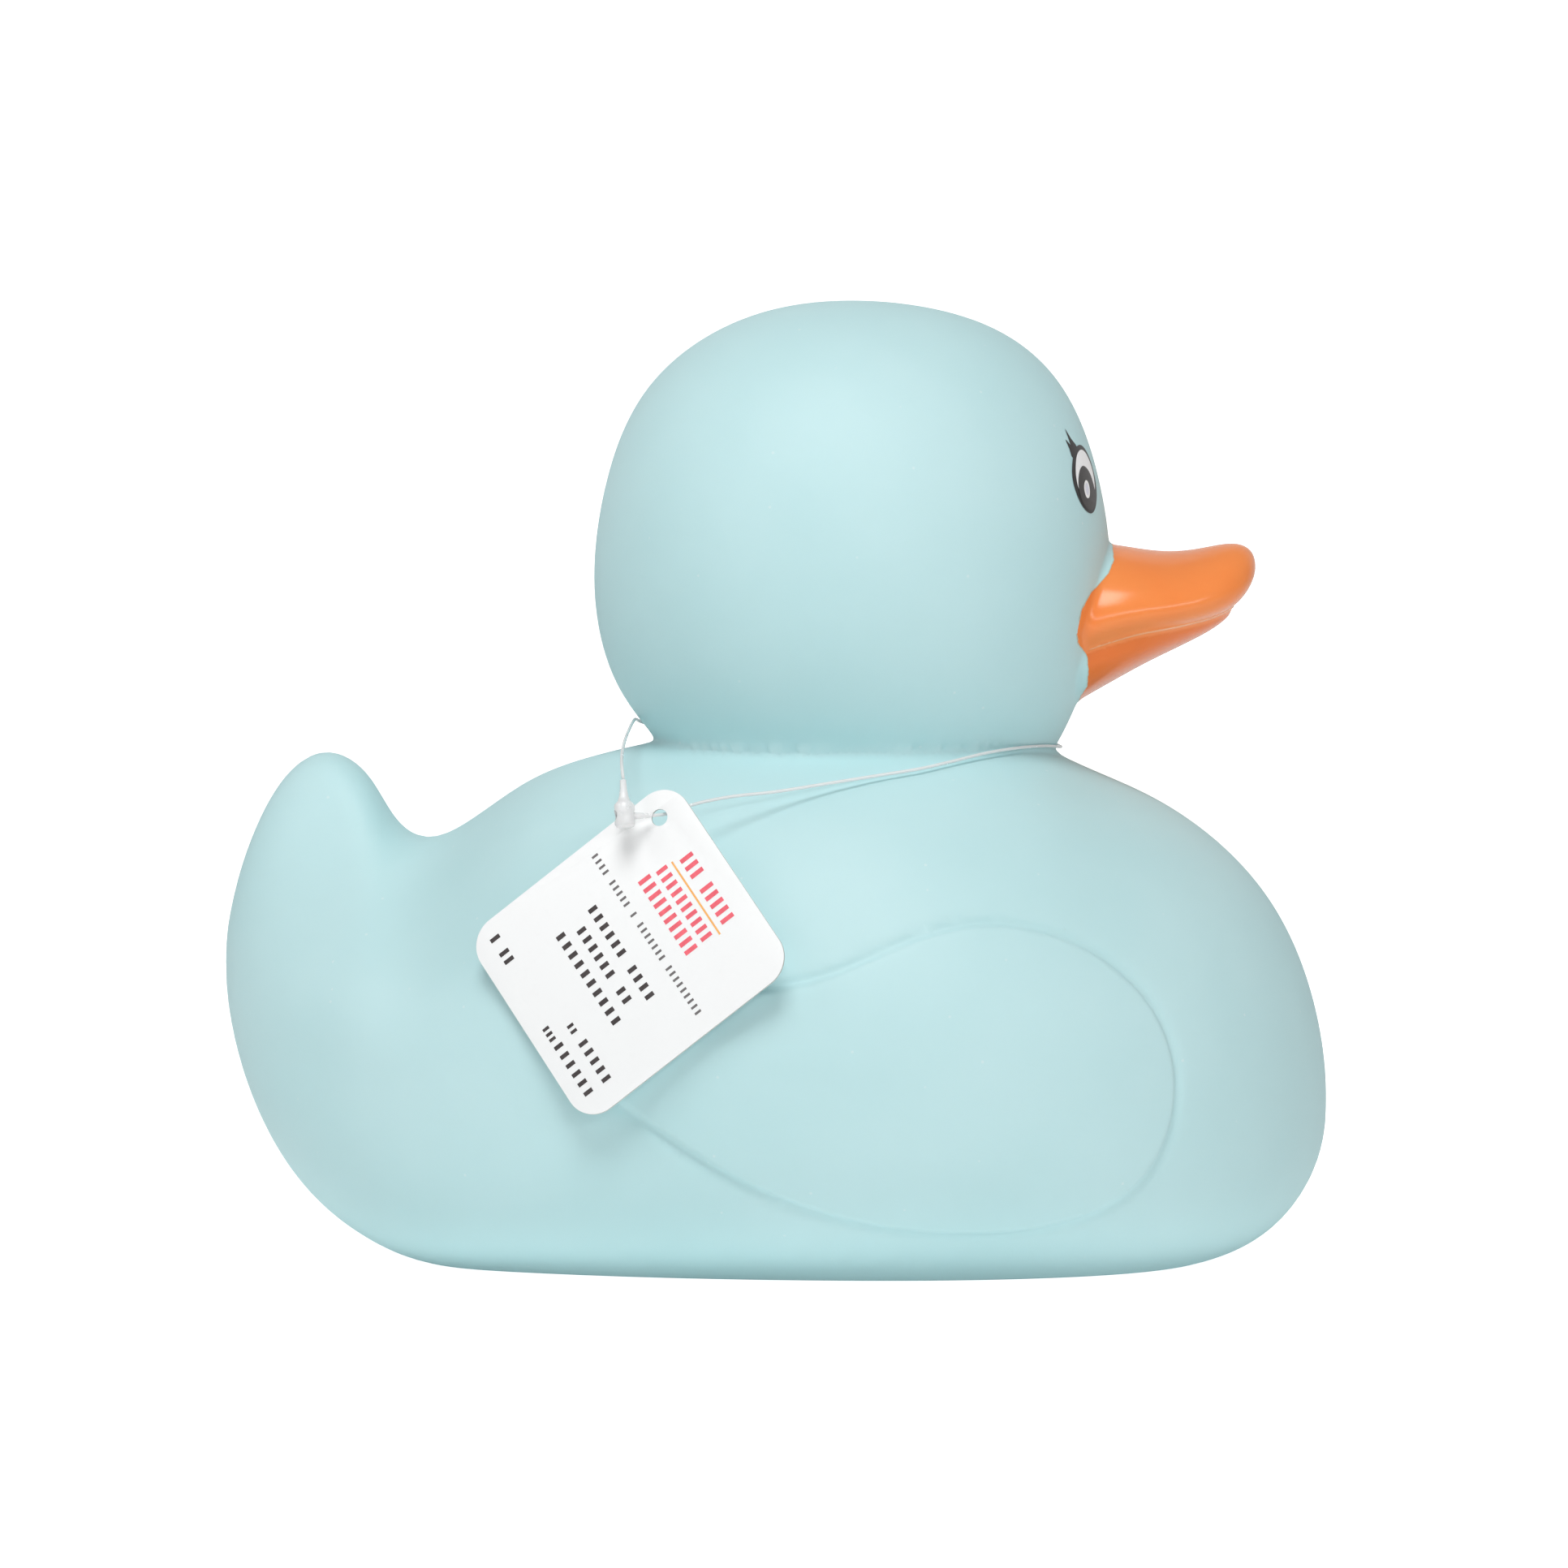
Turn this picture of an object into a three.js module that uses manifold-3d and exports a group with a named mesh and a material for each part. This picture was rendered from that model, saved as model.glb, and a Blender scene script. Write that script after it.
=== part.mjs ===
// Rubber duck with a hang tag on a nylon loop.
// Millimetres, +Z up, +X towards the beak, the flat base on Z = 0 and the plane Y = 0 its symmetry plane.
import * as THREE from 'three';
import { mergeVertices } from 'three/addons/utils/BufferGeometryUtils.js';
import Module from 'manifold-3d';

const wasm = await Module();
wasm.setup();

// Moulded vinyl skin
const wall = 2;
const baseWall = 4.2;

// Body, seen from the side as X and Z
const bodyRear = -103.2;
const bodyFront = 103.2;
const bodyWidth = 156;
const tailHeight = 92.4;
const saddleHeight = 76.4;
const neckHeight = 94;
const baseSwell = 3.5;
const bodyLevel = 0.42;
const bodyUpperPower = 2.3;
const bodyLowerPower = 3.4;

// Tail, drawn in from the sides
const tailPinch = 0.62;
const tailPinchStart = -48;
const tailPinchRun = 36;
const tailPinchFoot = 38;
const tailPinchRise = 52;

// Head, with its outline taken from its own centre
const headX = 14.5;
const headZ = 126;
const headLength = 97;
const headHeight = 101.3;
const headWidth = 95.2;
const headPower = 2.1;

// Beak, with its outlines taken from the head's centre
const billReach = 75.4;
const upperBillWidth = 40;
const lowerBillWidth = 34;
const upperBillLevel = 0.3;
const lowerBillLevel = 0.6;
const billPower = 2.1;

// Wing pads
const wingX = 28;
const wingZ = 38;
const wingStep = 0.8;
const wingBulge = 1.7;
const wingRoot = 5;

// Squeaker in the base
const squeakerX = 8;
const squeakerBore = 13;
const squeakerRecess = 21;
const recessDepth = 1.8;
const squeakerLength = 12;
const squeakerVent = 3;
const lipThickness = 2;
const lipOverlap = 1;
const fitGap = 0.3;

// Hang tag
const tagLineWidth = 42.5;
const tagHeight = 47;
const tagThickness = 0.5;
const tagCorner = 5.5;
const tagHole = 3;
const tagHoleFromEdge = 4.8;
const tagHoleFromTop = 5.6;
const tagX = -25.8;
const tagZ = 60.7;
const tagYaw = THREE.MathUtils.degToRad(-21.8);
const tagLean = THREE.MathUtils.degToRad(-15.5);
const tagSpin = THREE.MathUtils.degToRad(50.2);

// Nylon loop and its lock
const loopDiameter = 0.6;
const loopSides = 8;
const loopSteps = 78;
const socketDiameter = 3.6;
const socketLength = 8.6;
const socketBarrel = 4.2;
const socketBore = 2;
const pinDiameter = 1.3;
const pinLength = 6;

// Facets
const curveSamples = 900;
const bodyFacets = { stations: 38, around: 40 };
const headFacets = { stations: 26, around: 32 };
const billFacets = { stations: 15, around: 20 };
const cavityFacets = { stations: 18, around: 20 };
const wingFacets = 40;
const roundFacets = 28;

const finish = (color, roughness, options = {}) =>
  new THREE.MeshStandardMaterial({ color, roughness, metalness: 0, ...options });
const aquaVinyl = finish(0xbfe3e6, 0.5);
const whitePlastic = finish(0xe9e9e4, 0.45);
const tagCard = finish(0xf7f7f5, 0.6);
const clearNylon = finish(0xf2f4f5, 0.25, { transparent: true, opacity: 0.7 });

// A closed mesh as a solid for joining and cutting
function toSolid(geometry) {
  const bare = geometry.clone();
  bare.deleteAttribute('normal');
  bare.deleteAttribute('uv');
  const merged = mergeVertices(bare, 1e-5);
  return new wasm.Manifold(new wasm.Mesh({
    numProp: 3,
    vertProperties: new Float32Array(merged.attributes.position.array),
    triVerts: new Uint32Array(merged.index.array),
  }));
}

// A solid as a geometry again
function toGeometry(solid) {
  const mesh = solid.getMesh();
  const geometry = new THREE.BufferGeometry();
  geometry.setAttribute('position', new THREE.BufferAttribute(mesh.vertProperties, mesh.numProp));
  geometry.setIndex(new THREE.BufferAttribute(mesh.triVerts, 1));
  return geometry;
}

// A geometry from rings of points, closed by a point at each end
function ringedGeometry(firstPole, rings, lastPole) {
  const points = [firstPole, ...rings.flat(), lastPole];
  const around = rings[0].length;
  const last = points.length - 1;
  const indices = [];
  for (let j = 0; j < around; j += 1) {
    const next = (j + 1) % around;
    indices.push(0, 1 + next, 1 + j);
    for (let i = 0; i < rings.length - 1; i += 1) {
      const a = 1 + i * around;
      const b = a + around;
      indices.push(a + j, a + next, b + next, a + j, b + next, b + j);
    }
    const end = 1 + (rings.length - 1) * around;
    indices.push(last, end + j, end + next);
  }
  const geometry = new THREE.BufferGeometry();
  geometry.setAttribute('position', new THREE.Float32BufferAttribute(points.flat(), 3));
  geometry.setIndex(indices);
  return geometry;
}

// Height of a line of [along, across] points at one place along it
function lineAt(line, along) {
  let low = 0;
  let high = line.length - 1;
  if (along <= line[low][0]) return line[low][1];
  if (along >= line[high][0]) return line[high][1];
  while (high - low > 1) {
    const middle = (low + high) >> 1;
    if (line[middle][0] > along) high = middle;
    else low = middle;
  }
  const [x0, y0] = line[low];
  const [x1, y1] = line[high];
  return y0 + ((y1 - y0) * (along - x0)) / (x1 - x0);
}

// A smooth closed outline through its points, split at its ends into an upper and a lower line
function splitOutline(points) {
  const path = new THREE.CatmullRomCurve3(points.map(([x, z]) => new THREE.Vector3(x, 0, z)), true);
  const samples = path.getPoints(curveSamples).slice(0, -1).map((p) => [p.x, p.z]);
  const xs = samples.map(([x]) => x);
  const rear = xs.indexOf(Math.min(...xs));
  const turned = [...samples.slice(rear), ...samples.slice(0, rear + 1)];
  const front = turned.findIndex(([x]) => x === Math.max(...xs));
  const one = turned.slice(0, front + 1);
  const other = turned.slice(front).reverse();
  const middle = (one[0][0] + one[one.length - 1][0]) / 2;
  return lineAt(one, middle) > lineAt(other, middle) ? [one, other] : [other, one];
}

// Points of an outline moved inwards by the same distance
function insetOutline(points, distance) {
  const count = points.length;
  const area = points.reduce((sum, [x, z], i) => {
    const [nx, nz] = points[(i + 1) % count];
    return sum + x * nz - nx * z;
  }, 0);
  return points.map(([x, z], i) => {
    const [px, pz] = points[(i + count - 1) % count];
    const [nx, nz] = points[(i + 1) % count];
    const along = new THREE.Vector2(nx - px, nz - pz).normalize();
    const turn = Math.sign(area);
    return [x - turn * along.y * distance, z + turn * along.x * distance];
  });
}

// A closed form lofted along X, from its outline in side view and its half outline in plan
class SectionLoft {
  constructor({ side, plan, level, upperPower, lowerPower, narrowing = () => 1 }) {
    [this.top, this.bottom] = splitOutline(side);
    this.rear = this.top[0];
    this.front = this.top[this.top.length - 1];
    const mirrored = plan.filter(([, y]) => y > 0).map(([x, y]) => [x, -y]).reverse();
    [this.plan] = splitOutline([...plan, ...mirrored]);
    Object.assign(this, { level, upperPower, lowerPower, narrowing });
  }

  section(x) {
    const top = lineAt(this.top, x);
    const bottom = lineAt(this.bottom, x);
    const share = (x - this.rear[0]) / (this.front[0] - this.rear[0]);
    const planRear = this.plan[0][0];
    const planFront = this.plan[this.plan.length - 1][0];
    const width = Math.max(lineAt(this.plan, planRear + share * (planFront - planRear)), 0);
    return { top, bottom, width, middle: bottom + this.level * (top - bottom) };
  }

  halfWidth(x, z) {
    const { top, bottom, width, middle } = this.section(x);
    const above = z > middle;
    const share = above ? (z - middle) / (top - middle) : (middle - z) / (middle - bottom);
    const power = above ? this.upperPower : this.lowerPower;
    return share < 1 ? width * (1 - share ** power) ** (1 / power) * this.narrowing(x, z) : 0;
  }

  ring(x, around) {
    const { top, bottom, width, middle } = this.section(x);
    return Array.from({ length: around }, (_, j) => {
      const turn = (2 * Math.PI * j) / around;
      const rise = Math.sin(turn);
      const across = Math.cos(turn);
      const power = rise > 0 ? this.upperPower : this.lowerPower;
      const reach = rise > 0 ? top - middle : middle - bottom;
      const z = middle + Math.sign(rise) * reach * Math.abs(rise) ** (2 / power);
      const y = Math.sign(across) * width * Math.abs(across) ** (2 / power) * this.narrowing(x, z);
      return [x, y, z];
    });
  }

  solid({ stations, around }) {
    const [rearX, rearZ] = this.rear;
    const [frontX, frontZ] = this.front;
    const rings = Array.from({ length: stations }, (_, i) => {
      const share = (1 - Math.cos((Math.PI * (i + 1)) / (stations + 1))) / 2;
      return this.ring(rearX + share * (frontX - rearX), around);
    });
    return toSolid(ringedGeometry([rearX, 0, rearZ], rings, [frontX, 0, frontZ]));
  }
}

// A rise from 0 to 1 that starts and ends level
const easedRise = (t) => THREE.MathUtils.smootherstep(t, 0, 1);

// Share of the body's width that the tail keeps at a place
const tailNarrowing = (x, z) =>
  1 - tailPinch * easedRise((tailPinchStart - x) / tailPinchRun) * easedRise((z - tailPinchFoot) / tailPinchRise);

// Outline of the body in side view: rear, tail, back, breast and base
const rearLine = [[bodyRear, 53.8]];
const tailLine = [[-101.6, 66], [-98.4, 76.2], [-92.2, tailHeight - 4.8], [-84.8, tailHeight],
  [-77.3, tailHeight - 3.5], [-71.2, saddleHeight + 3.2]];
const backLine = [[-65.4, saddleHeight], [-57.5, saddleHeight + 3.2], [-46.7, neckHeight - 7.2],
  [-34.5, neckHeight - 2.5], [-15, neckHeight + 1.7], [18, neckHeight + 4.8], [46, neckHeight + 0.8]];
const breastLine = [[57.5, 89.9], [70.6, 84], [83.6, 75], [93.4, 63.4], [99.8, 49], [102.9, 33.5],
  [102.2, 20], [96.2, 9]];
const baseLine = [[84.5, 1], [58, -baseSwell * 0.86], [5, -baseSwell], [-45, -baseSwell * 0.74], [-68, 0],
  [-83.5, 8.3], [-93.6, 20.5], [-100.4, 36.5]];
const bodyPlan = [[bodyRear, 0], [-98, 20], [-84, 38.5], [-60, 58], [-30, 71.5], [5, bodyWidth / 2],
  [40, 76], [70, 63.5], [90, 43], [100.5, 19], [bodyFront, 0]];

const bodyForm = {
  level: bodyLevel, upperPower: bodyUpperPower, lowerPower: bodyLowerPower, narrowing: tailNarrowing,
};
const bodyLoft = new SectionLoft({
  side: [...rearLine, ...tailLine, ...backLine, ...breastLine, ...baseLine],
  plan: bodyPlan,
  ...bodyForm,
});
const bodyHollow = new SectionLoft({
  side: insetOutline([...rearLine, ...backLine, ...breastLine, ...baseLine], wall),
  plan: insetOutline(bodyPlan, wall).map(([x, y], i) => [x, i % (bodyPlan.length - 1) === 0 ? 0 : y]),
  ...bodyForm,
});

// Outline of the head in side view and in plan, in halves of its length, height and width
const headSide = [[-0.05, 1.003], [0.495, 0.92], [0.808, 0.68], [0.957, 0.318], [1, 0], [0.963, -0.267],
  [0.868, -0.466], [0.757, -0.67], [0.464, -0.908], [0.01, -0.997], [-0.464, -0.888], [-0.751, -0.626],
  [-0.915, -0.405], [-0.998, -0.085], [-0.957, 0.318], [-0.794, 0.68], [-0.476, 0.916]];
const headPlan = [180, 150, 120, 90, 60, 30, 0].map((turn) => {
  const angle = THREE.MathUtils.degToRad(turn);
  return [Math.cos(angle), Math.sin(angle)];
});
const headOutline = headSide.map(([x, z]) => [headX + (x * headLength) / 2, headZ + (z * headHeight) / 2]);
const headWidths = (halfWidth) => headPlan.map(([x, y]) => [headX + (x * headLength) / 2, y * halfWidth]);
const headForm = { level: 0.5, upperPower: headPower, lowerPower: headPower };
const headLoft = new SectionLoft({ side: headOutline, plan: headWidths(headWidth / 2), ...headForm });
const headHollow = new SectionLoft({
  side: insetOutline(headOutline, wall), plan: headWidths(headWidth / 2 - wall), ...headForm,
});

// Outlines of the two bills, as X from the head's centre with its Z, and as half widths
const fromHead = (points) => points.map(([x, z]) => [headX + x, headZ + z]);
const widths = (points, width) => points.map(([x, share]) => [headX + x, (share * width) / 2]);
const upperBill = new SectionLoft({
  side: fromHead([[29.5, -5], [36, 4.6], [49, 5.3], [57, 4.2], [64, 4.5], [71.3, 5.5], [74.7, 4.1],
    [billReach, 1.3], [74.2, -3], [71, -6.9], [63.5, -9.9], [52.8, -12.2], [44, -15.4], [35.5, -16.5]]),
  plan: widths([[29.5, 0], [31.5, 0.6], [37.5, 0.93], [45.5, 1], [53.5, 0.96], [61.5, 0.84], [68.5, 0.65],
    [73.4, 0.37], [billReach, 0]], upperBillWidth),
  level: upperBillLevel, upperPower: billPower, lowerPower: 2.6,
});
const lowerBill = new SectionLoft({
  side: fromHead([[30.5, -20], [34.5, -26], [42.7, -23.5], [48.5, -20.2], [55.3, -16.5], [63.5, -12.5],
    [68.7, -9.2], [69.7, -7], [65.5, -6], [51.5, -8.5], [37.5, -13]]),
  plan: widths([[30.5, 0], [32.5, 0.6], [39.5, 0.97], [47.5, 1], [55.5, 0.88], [63.5, 0.62], [68.5, 0.3],
    [69.7, 0]], lowerBillWidth),
  level: lowerBillLevel, upperPower: billPower, lowerPower: billPower,
});

// Wing outline in side view, as seen from the wing's middle: a round front and a tip that sweeps up behind
const wingOutline = [[-71, 12], [-64.5, 3.5], [-53.2, -5.1], [-38.6, -14.5], [-18.3, -23.1], [2.1, -26.6],
  [22.6, -25.1], [37.1, -17.1], [42.4, -2.5], [38.2, 11.9], [25.7, 22.9], [9.2, 27], [-5.1, 24],
  [-18.3, 18.5], [-29.9, 16], [-44, 14], [-58, 12.8]];
const wingPath = new THREE.CatmullRomCurve3(wingOutline.map(([x, z]) => new THREE.Vector3(x, 0, z)), true);
const wingRadii = wingPath.getPoints(curveSamples)
  .map((p) => [Math.atan2(p.z, p.x), Math.hypot(p.x, p.z)])
  .sort(([a], [b]) => a - b);

// Height of the wing pad over the body at a place, 0 outside the wing
function wingHeight(x, z) {
  const share = Math.hypot(x - wingX, z - wingZ) / lineAt(wingRadii, Math.atan2(z - wingZ, x - wingX));
  return share < 1 ? wingStep + wingBulge * (1 - share ** 2) : 0;
}

// One wing pad as a closed plate that follows the flank, rooted in the body
function wingSolid(side) {
  const shares = [0.2, 0.45, 0.7, 0.88, 0.97, 1];
  const rim = wingPath.getSpacedPoints(wingFacets).slice(0, -1);
  const place = (p, share, lift) => {
    const x = wingX + p.x * share;
    const z = wingZ + p.z * share;
    return [x, bodyLoft.halfWidth(x, z) + lift, z];
  };
  const raised = (share) => wingStep + wingBulge * (1 - share ** 2);
  const outer = shares.map((share) => rim.map((p) => place(p, share, raised(share))));
  const inner = [...shares].reverse().map((share) => rim.map((p) => place(p, share, -wingRoot)));
  const geometry = ringedGeometry(place(rim[0], 0, raised(0)), [...outer, ...inner], place(rim[0], 0, -wingRoot));
  const solid = toSolid(geometry);
  return side > 0 ? solid : solid.mirror([0, 1, 0]);
}

// An upright revolved solid from [radius, height] points that close on themselves
function revolved(profile, x, segments = roundFacets) {
  const closed = [...profile, profile[0]].map(([r, z]) => new THREE.Vector2(r, z));
  const geometry = new THREE.LatheGeometry(closed, segments);
  geometry.rotateX(Math.PI / 2);
  geometry.translate(x, 0, 0);
  return geometry;
}

// The duck: body, head, bills and wings as one hollow moulding, open at the squeaker's bore
function buildDuck() {
  const skin = [headLoft.solid(headFacets), upperBill.solid(billFacets), lowerBill.solid(billFacets),
    wingSolid(1), wingSolid(-1)].reduce((sum, solid) => sum.add(solid), bodyLoft.solid(bodyFacets));
  const hollow = bodyHollow.solid(cavityFacets).add(headHollow.solid(cavityFacets));
  const span = bodyFront - bodyRear;
  const slab = (top) => {
    const box = new THREE.BoxGeometry(2 * span, 2 * span, span);
    box.translate(0, 0, top - span / 2);
    return toSolid(box);
  };
  const bore = revolved([[0, -1], [squeakerRecess / 2, -1], [squeakerRecess / 2, recessDepth],
    [squeakerBore / 2, recessDepth], [squeakerBore / 2, baseWall + 1], [0, baseWall + 1]], squeakerX);
  const shell = skin.subtract(slab(0)).subtract(hollow.subtract(slab(baseWall))).subtract(toSolid(bore));
  return toGeometry(shell);
}

// The squeaker: a flange in the recess, a neck through the bore, a lip inside and a vented stem
function buildSqueaker() {
  const vent = squeakerVent / 2;
  const flange = squeakerRecess / 2 - fitGap;
  const neck = squeakerBore / 2 - fitGap;
  const flangeTop = recessDepth - fitGap;
  const lipFoot = baseWall + fitGap;
  const lip = squeakerBore / 2 + lipOverlap;
  return revolved([[vent, fitGap], [flange, fitGap], [flange, flangeTop], [neck, flangeTop], [neck, lipFoot],
    [lip, lipFoot], [neck, lipFoot + lipThickness], [neck - 1, squeakerLength], [vent, squeakerLength]], squeakerX);
}

// The card: a rectangle with round corners and a punched hole, its face on its far side in Z
function buildCard() {
  const halfWide = tagLineWidth / 2;
  const halfHigh = tagHeight / 2;
  const card = new THREE.Shape();
  [[1, 1, 0], [-1, 1, 1], [-1, -1, 2], [1, -1, 3]].forEach(([sx, sy, quarter]) => {
    const cx = sx * (halfWide - tagCorner);
    const cy = sy * (halfHigh - tagCorner);
    card.absarc(cx, cy, tagCorner, (quarter * Math.PI) / 2, ((quarter + 1) * Math.PI) / 2);
  });
  const hole = new THREE.Path();
  hole.absarc(tagHoleFromEdge - halfWide, halfHigh - tagHoleFromTop, tagHole / 2, 0, 2 * Math.PI, true);
  card.holes.push(hole);
  const geometry = new THREE.ExtrudeGeometry(card, { depth: tagThickness, bevelEnabled: false, curveSegments: 8 });
  geometry.translate(0, 0, -tagThickness);
  return geometry.rotateX(Math.PI / 2);
}

// Rotation that stands the card against the flank, its lines running down towards the front
const tagTurn = new THREE.Matrix4()
  .makeRotationZ(tagYaw)
  .multiply(new THREE.Matrix4().makeRotationX(tagLean))
  .multiply(new THREE.Matrix4().makeRotationY(tagSpin));

// Place of the card's middle, with its back face just clear of the flank and the wing
function tagCentre() {
  const samples = [-1, -0.75, -0.5, -0.25, 0, 0.25, 0.5, 0.75, 1];
  const reach = samples.flatMap((a) => samples.map((b) => {
    const back = new THREE.Vector3((a * tagLineWidth) / 2, tagThickness, (b * tagHeight) / 2).applyMatrix4(tagTurn);
    const x = tagX + back.x;
    const z = tagZ + back.z;
    return bodyLoft.halfWidth(x, z) + wingHeight(x, z) + back.y;
  }));
  return new THREE.Vector3(tagX, -(Math.max(...reach) + fitGap), tagZ);
}

// Route of the loop: from the socket over the back, round the neck and along the flank to the pin
const loopRoute = [
  [-26.8, -65.9, 90.9], [-27.1, -62.5, 92.6], [-27.3, -54, 94.6], [-27.2, -42, 96.3], [-26.8, -26, 97.8],
  [-26.5, -10, 98.6], [-26.3, 2, 98.5], [-25.2, 10.5, 97.6], [-21.8, 19, 96.5], [-14.8, 27.6, 95.6],
  [-4.6, 34.9, 95.2], [8.5, 38.7, 95.1], [21.5, 38.7, 95.1], [34, 34.3, 95], [44.8, 25.5, 94.9],
  [51.6, 13.6, 94.5], [53.9, 1, 94.2], [52.8, -8.5, 94.4], [49.4, -18.2, 94.7], [44.2, -26.8, 94.5],
  [38.2, -34.2, 93.8], [31.4, -41, 92.5], [26, -45.2, 91.5], [18, -49, 90.4], [9.3, -52.6, 89.2],
  [-0.2, -56.4, 87.9], [-8, -59.6, 87.2], [-14.5, -62.6, 86], [-19.1, -64.9, 84.5], [-21.5, -67, 84.3],
];

// Lock of the loop: the socket's top and direction, and the pin that goes through its bore
const socketTop = new THREE.Vector3(-26.8, -66.2, 90.5);
const socketLine = new THREE.Vector3(0.05, -0.3, -0.95).normalize();
const pinEnd = new THREE.Vector3(-21.9, -67.3, 84.3);

// The nylon filament as a thin tube along its route
function buildLoop() {
  const path = new THREE.CatmullRomCurve3(loopRoute.map((point) => new THREE.Vector3(...point)));
  const section = new THREE.Shape();
  Array.from({ length: loopSides }, (_, i) => (2 * Math.PI * i) / loopSides).forEach((turn, i) => {
    const x = (loopDiameter / 2) * Math.cos(turn);
    const y = (loopDiameter / 2) * Math.sin(turn);
    if (i === 0) section.moveTo(x, y);
    else section.lineTo(x, y);
  });
  return new THREE.ExtrudeGeometry(section, { steps: loopSteps, extrudePath: path, bevelEnabled: false });
}

// A turned solid from [radius, distance] points, set along a line from a start point
function turnedAlong(profile, start, line) {
  const geometry = new THREE.LatheGeometry(profile.map(([r, d]) => new THREE.Vector2(r, d)), roundFacets / 2);
  geometry.applyQuaternion(new THREE.Quaternion().setFromUnitVectors(new THREE.Vector3(0, 1, 0), line));
  return geometry.translate(start.x, start.y, start.z);
}

// Middle of the socket's cross bore, and the line of the pin through it
const boreCentre = socketTop.clone().addScaledVector(socketLine, socketLength - socketBarrel / 2);
const pinLine = pinEnd.clone().sub(boreCentre).normalize();

// The socket: a taper from the filament to a barrel with a cross bore for the pin
function buildSocket() {
  const radius = socketDiameter / 2;
  const body = toSolid(turnedAlong([[0, 0], [loopDiameter, 0], [radius, socketLength - socketBarrel],
    [radius, socketLength - radius / 3], [radius * 0.7, socketLength], [0, socketLength]], socketTop, socketLine));
  const start = boreCentre.clone().addScaledVector(pinLine, -socketDiameter);
  const bore = toSolid(turnedAlong([[0, 0], [socketBore / 2, 0], [socketBore / 2, 2 * socketDiameter],
    [0, 2 * socketDiameter]], start, pinLine));
  return toGeometry(body.subtract(bore));
}

// The pin: a head inside the bore and a taper that ends at the filament
function buildPin() {
  const radius = pinDiameter / 2;
  const reach = pinEnd.distanceTo(boreCentre);
  const head = pinLength - reach;
  const start = pinEnd.clone().addScaledVector(pinLine, -pinLength);
  return turnedAlong([[0, 0], [radius * 0.4, 0], [radius, head], [radius, head + socketDiameter / 2],
    [loopDiameter / 2, pinLength], [0, pinLength]], start, pinLine);
}


function named(name, geometry, material) {
  const mesh = new THREE.Mesh(geometry, material);
  mesh.name = name;
  return mesh;
}

const duck = new THREE.Group();
duck.add(named('duck_body', buildDuck(), aquaVinyl));
duck.add(named('squeaker', buildSqueaker(), whitePlastic));

const tagGroup = new THREE.Group();
tagGroup.position.copy(tagCentre());
tagGroup.quaternion.setFromRotationMatrix(tagTurn);
tagGroup.add(named('hang_tag', buildCard(), tagCard));
duck.add(tagGroup);

duck.add(named('tag_loop', buildLoop(), clearNylon));
duck.add(named('loop_socket', buildSocket(), clearNylon));
duck.add(named('loop_pin', buildPin(), clearNylon));

export default duck;
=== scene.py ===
import logging
import math
from contextlib import contextmanager
from dataclasses import dataclass
from enum import Enum
from typing import Callable, Iterator, Optional, Sequence, Union

import bpy
import numpy as np
from mathutils import Matrix, Vector


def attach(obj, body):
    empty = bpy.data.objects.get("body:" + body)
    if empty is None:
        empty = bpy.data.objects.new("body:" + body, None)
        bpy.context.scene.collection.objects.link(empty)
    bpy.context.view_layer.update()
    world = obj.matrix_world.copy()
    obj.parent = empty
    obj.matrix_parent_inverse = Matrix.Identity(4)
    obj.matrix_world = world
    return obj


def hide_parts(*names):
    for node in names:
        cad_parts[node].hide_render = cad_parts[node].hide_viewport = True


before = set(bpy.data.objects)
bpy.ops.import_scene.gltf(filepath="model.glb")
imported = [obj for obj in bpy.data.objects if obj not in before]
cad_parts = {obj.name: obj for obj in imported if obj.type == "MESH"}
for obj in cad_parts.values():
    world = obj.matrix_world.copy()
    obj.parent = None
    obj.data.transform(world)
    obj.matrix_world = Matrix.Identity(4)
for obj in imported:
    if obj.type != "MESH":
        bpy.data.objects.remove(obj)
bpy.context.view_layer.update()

LOG = logging.getLogger("duck")
MM = 0.001
Point2 = tuple[float, float]
Point3 = tuple[float, float, float]
Colour = tuple[float, float, float]


# Small helpers for objects and meshes

def only(obj: bpy.types.Object) -> bpy.types.Object:
    """Make one object the only selected one and the active one.

    Args:
        obj: The object to select.

    Returns:
        The same object.
    """
    bpy.ops.object.select_all(action="DESELECT")
    obj.select_set(True)
    bpy.context.view_layer.objects.active = obj
    return obj


def newest(name: str) -> bpy.types.Object:
    """Name the object that an operator has just added.

    Args:
        name: The new name of the object and its mesh.

    Returns:
        The active object.
    """
    obj = bpy.context.active_object
    obj.name = name
    obj.data.name = name
    return obj


def coordinates(obj: bpy.types.Object) -> np.ndarray:
    """Read the vertex places of a mesh.

    Args:
        obj: A mesh object at the origin.

    Returns:
        The places as rows of X, Y and Z.
    """
    flat = np.empty(len(obj.data.vertices) * 3)
    obj.data.vertices.foreach_get("co", flat)
    return flat.reshape(-1, 3)


def place_vertices(obj: bpy.types.Object, places: np.ndarray) -> None:
    """Write the vertex places of a mesh.

    Args:
        obj: A mesh object at the origin.
        places: The places as rows of X, Y and Z.
    """
    obj.data.vertices.foreach_set("co", places.ravel())
    obj.data.update()


def vertex_normals(obj: bpy.types.Object) -> np.ndarray:
    """Read the vertex normals of a mesh.

    Args:
        obj: A mesh object.

    Returns:
        The normals as rows of X, Y and Z.
    """
    flat = np.empty(len(obj.data.vertices) * 3)
    obj.data.vertex_normals.foreach_get("vector", flat)
    return flat.reshape(-1, 3)


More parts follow.
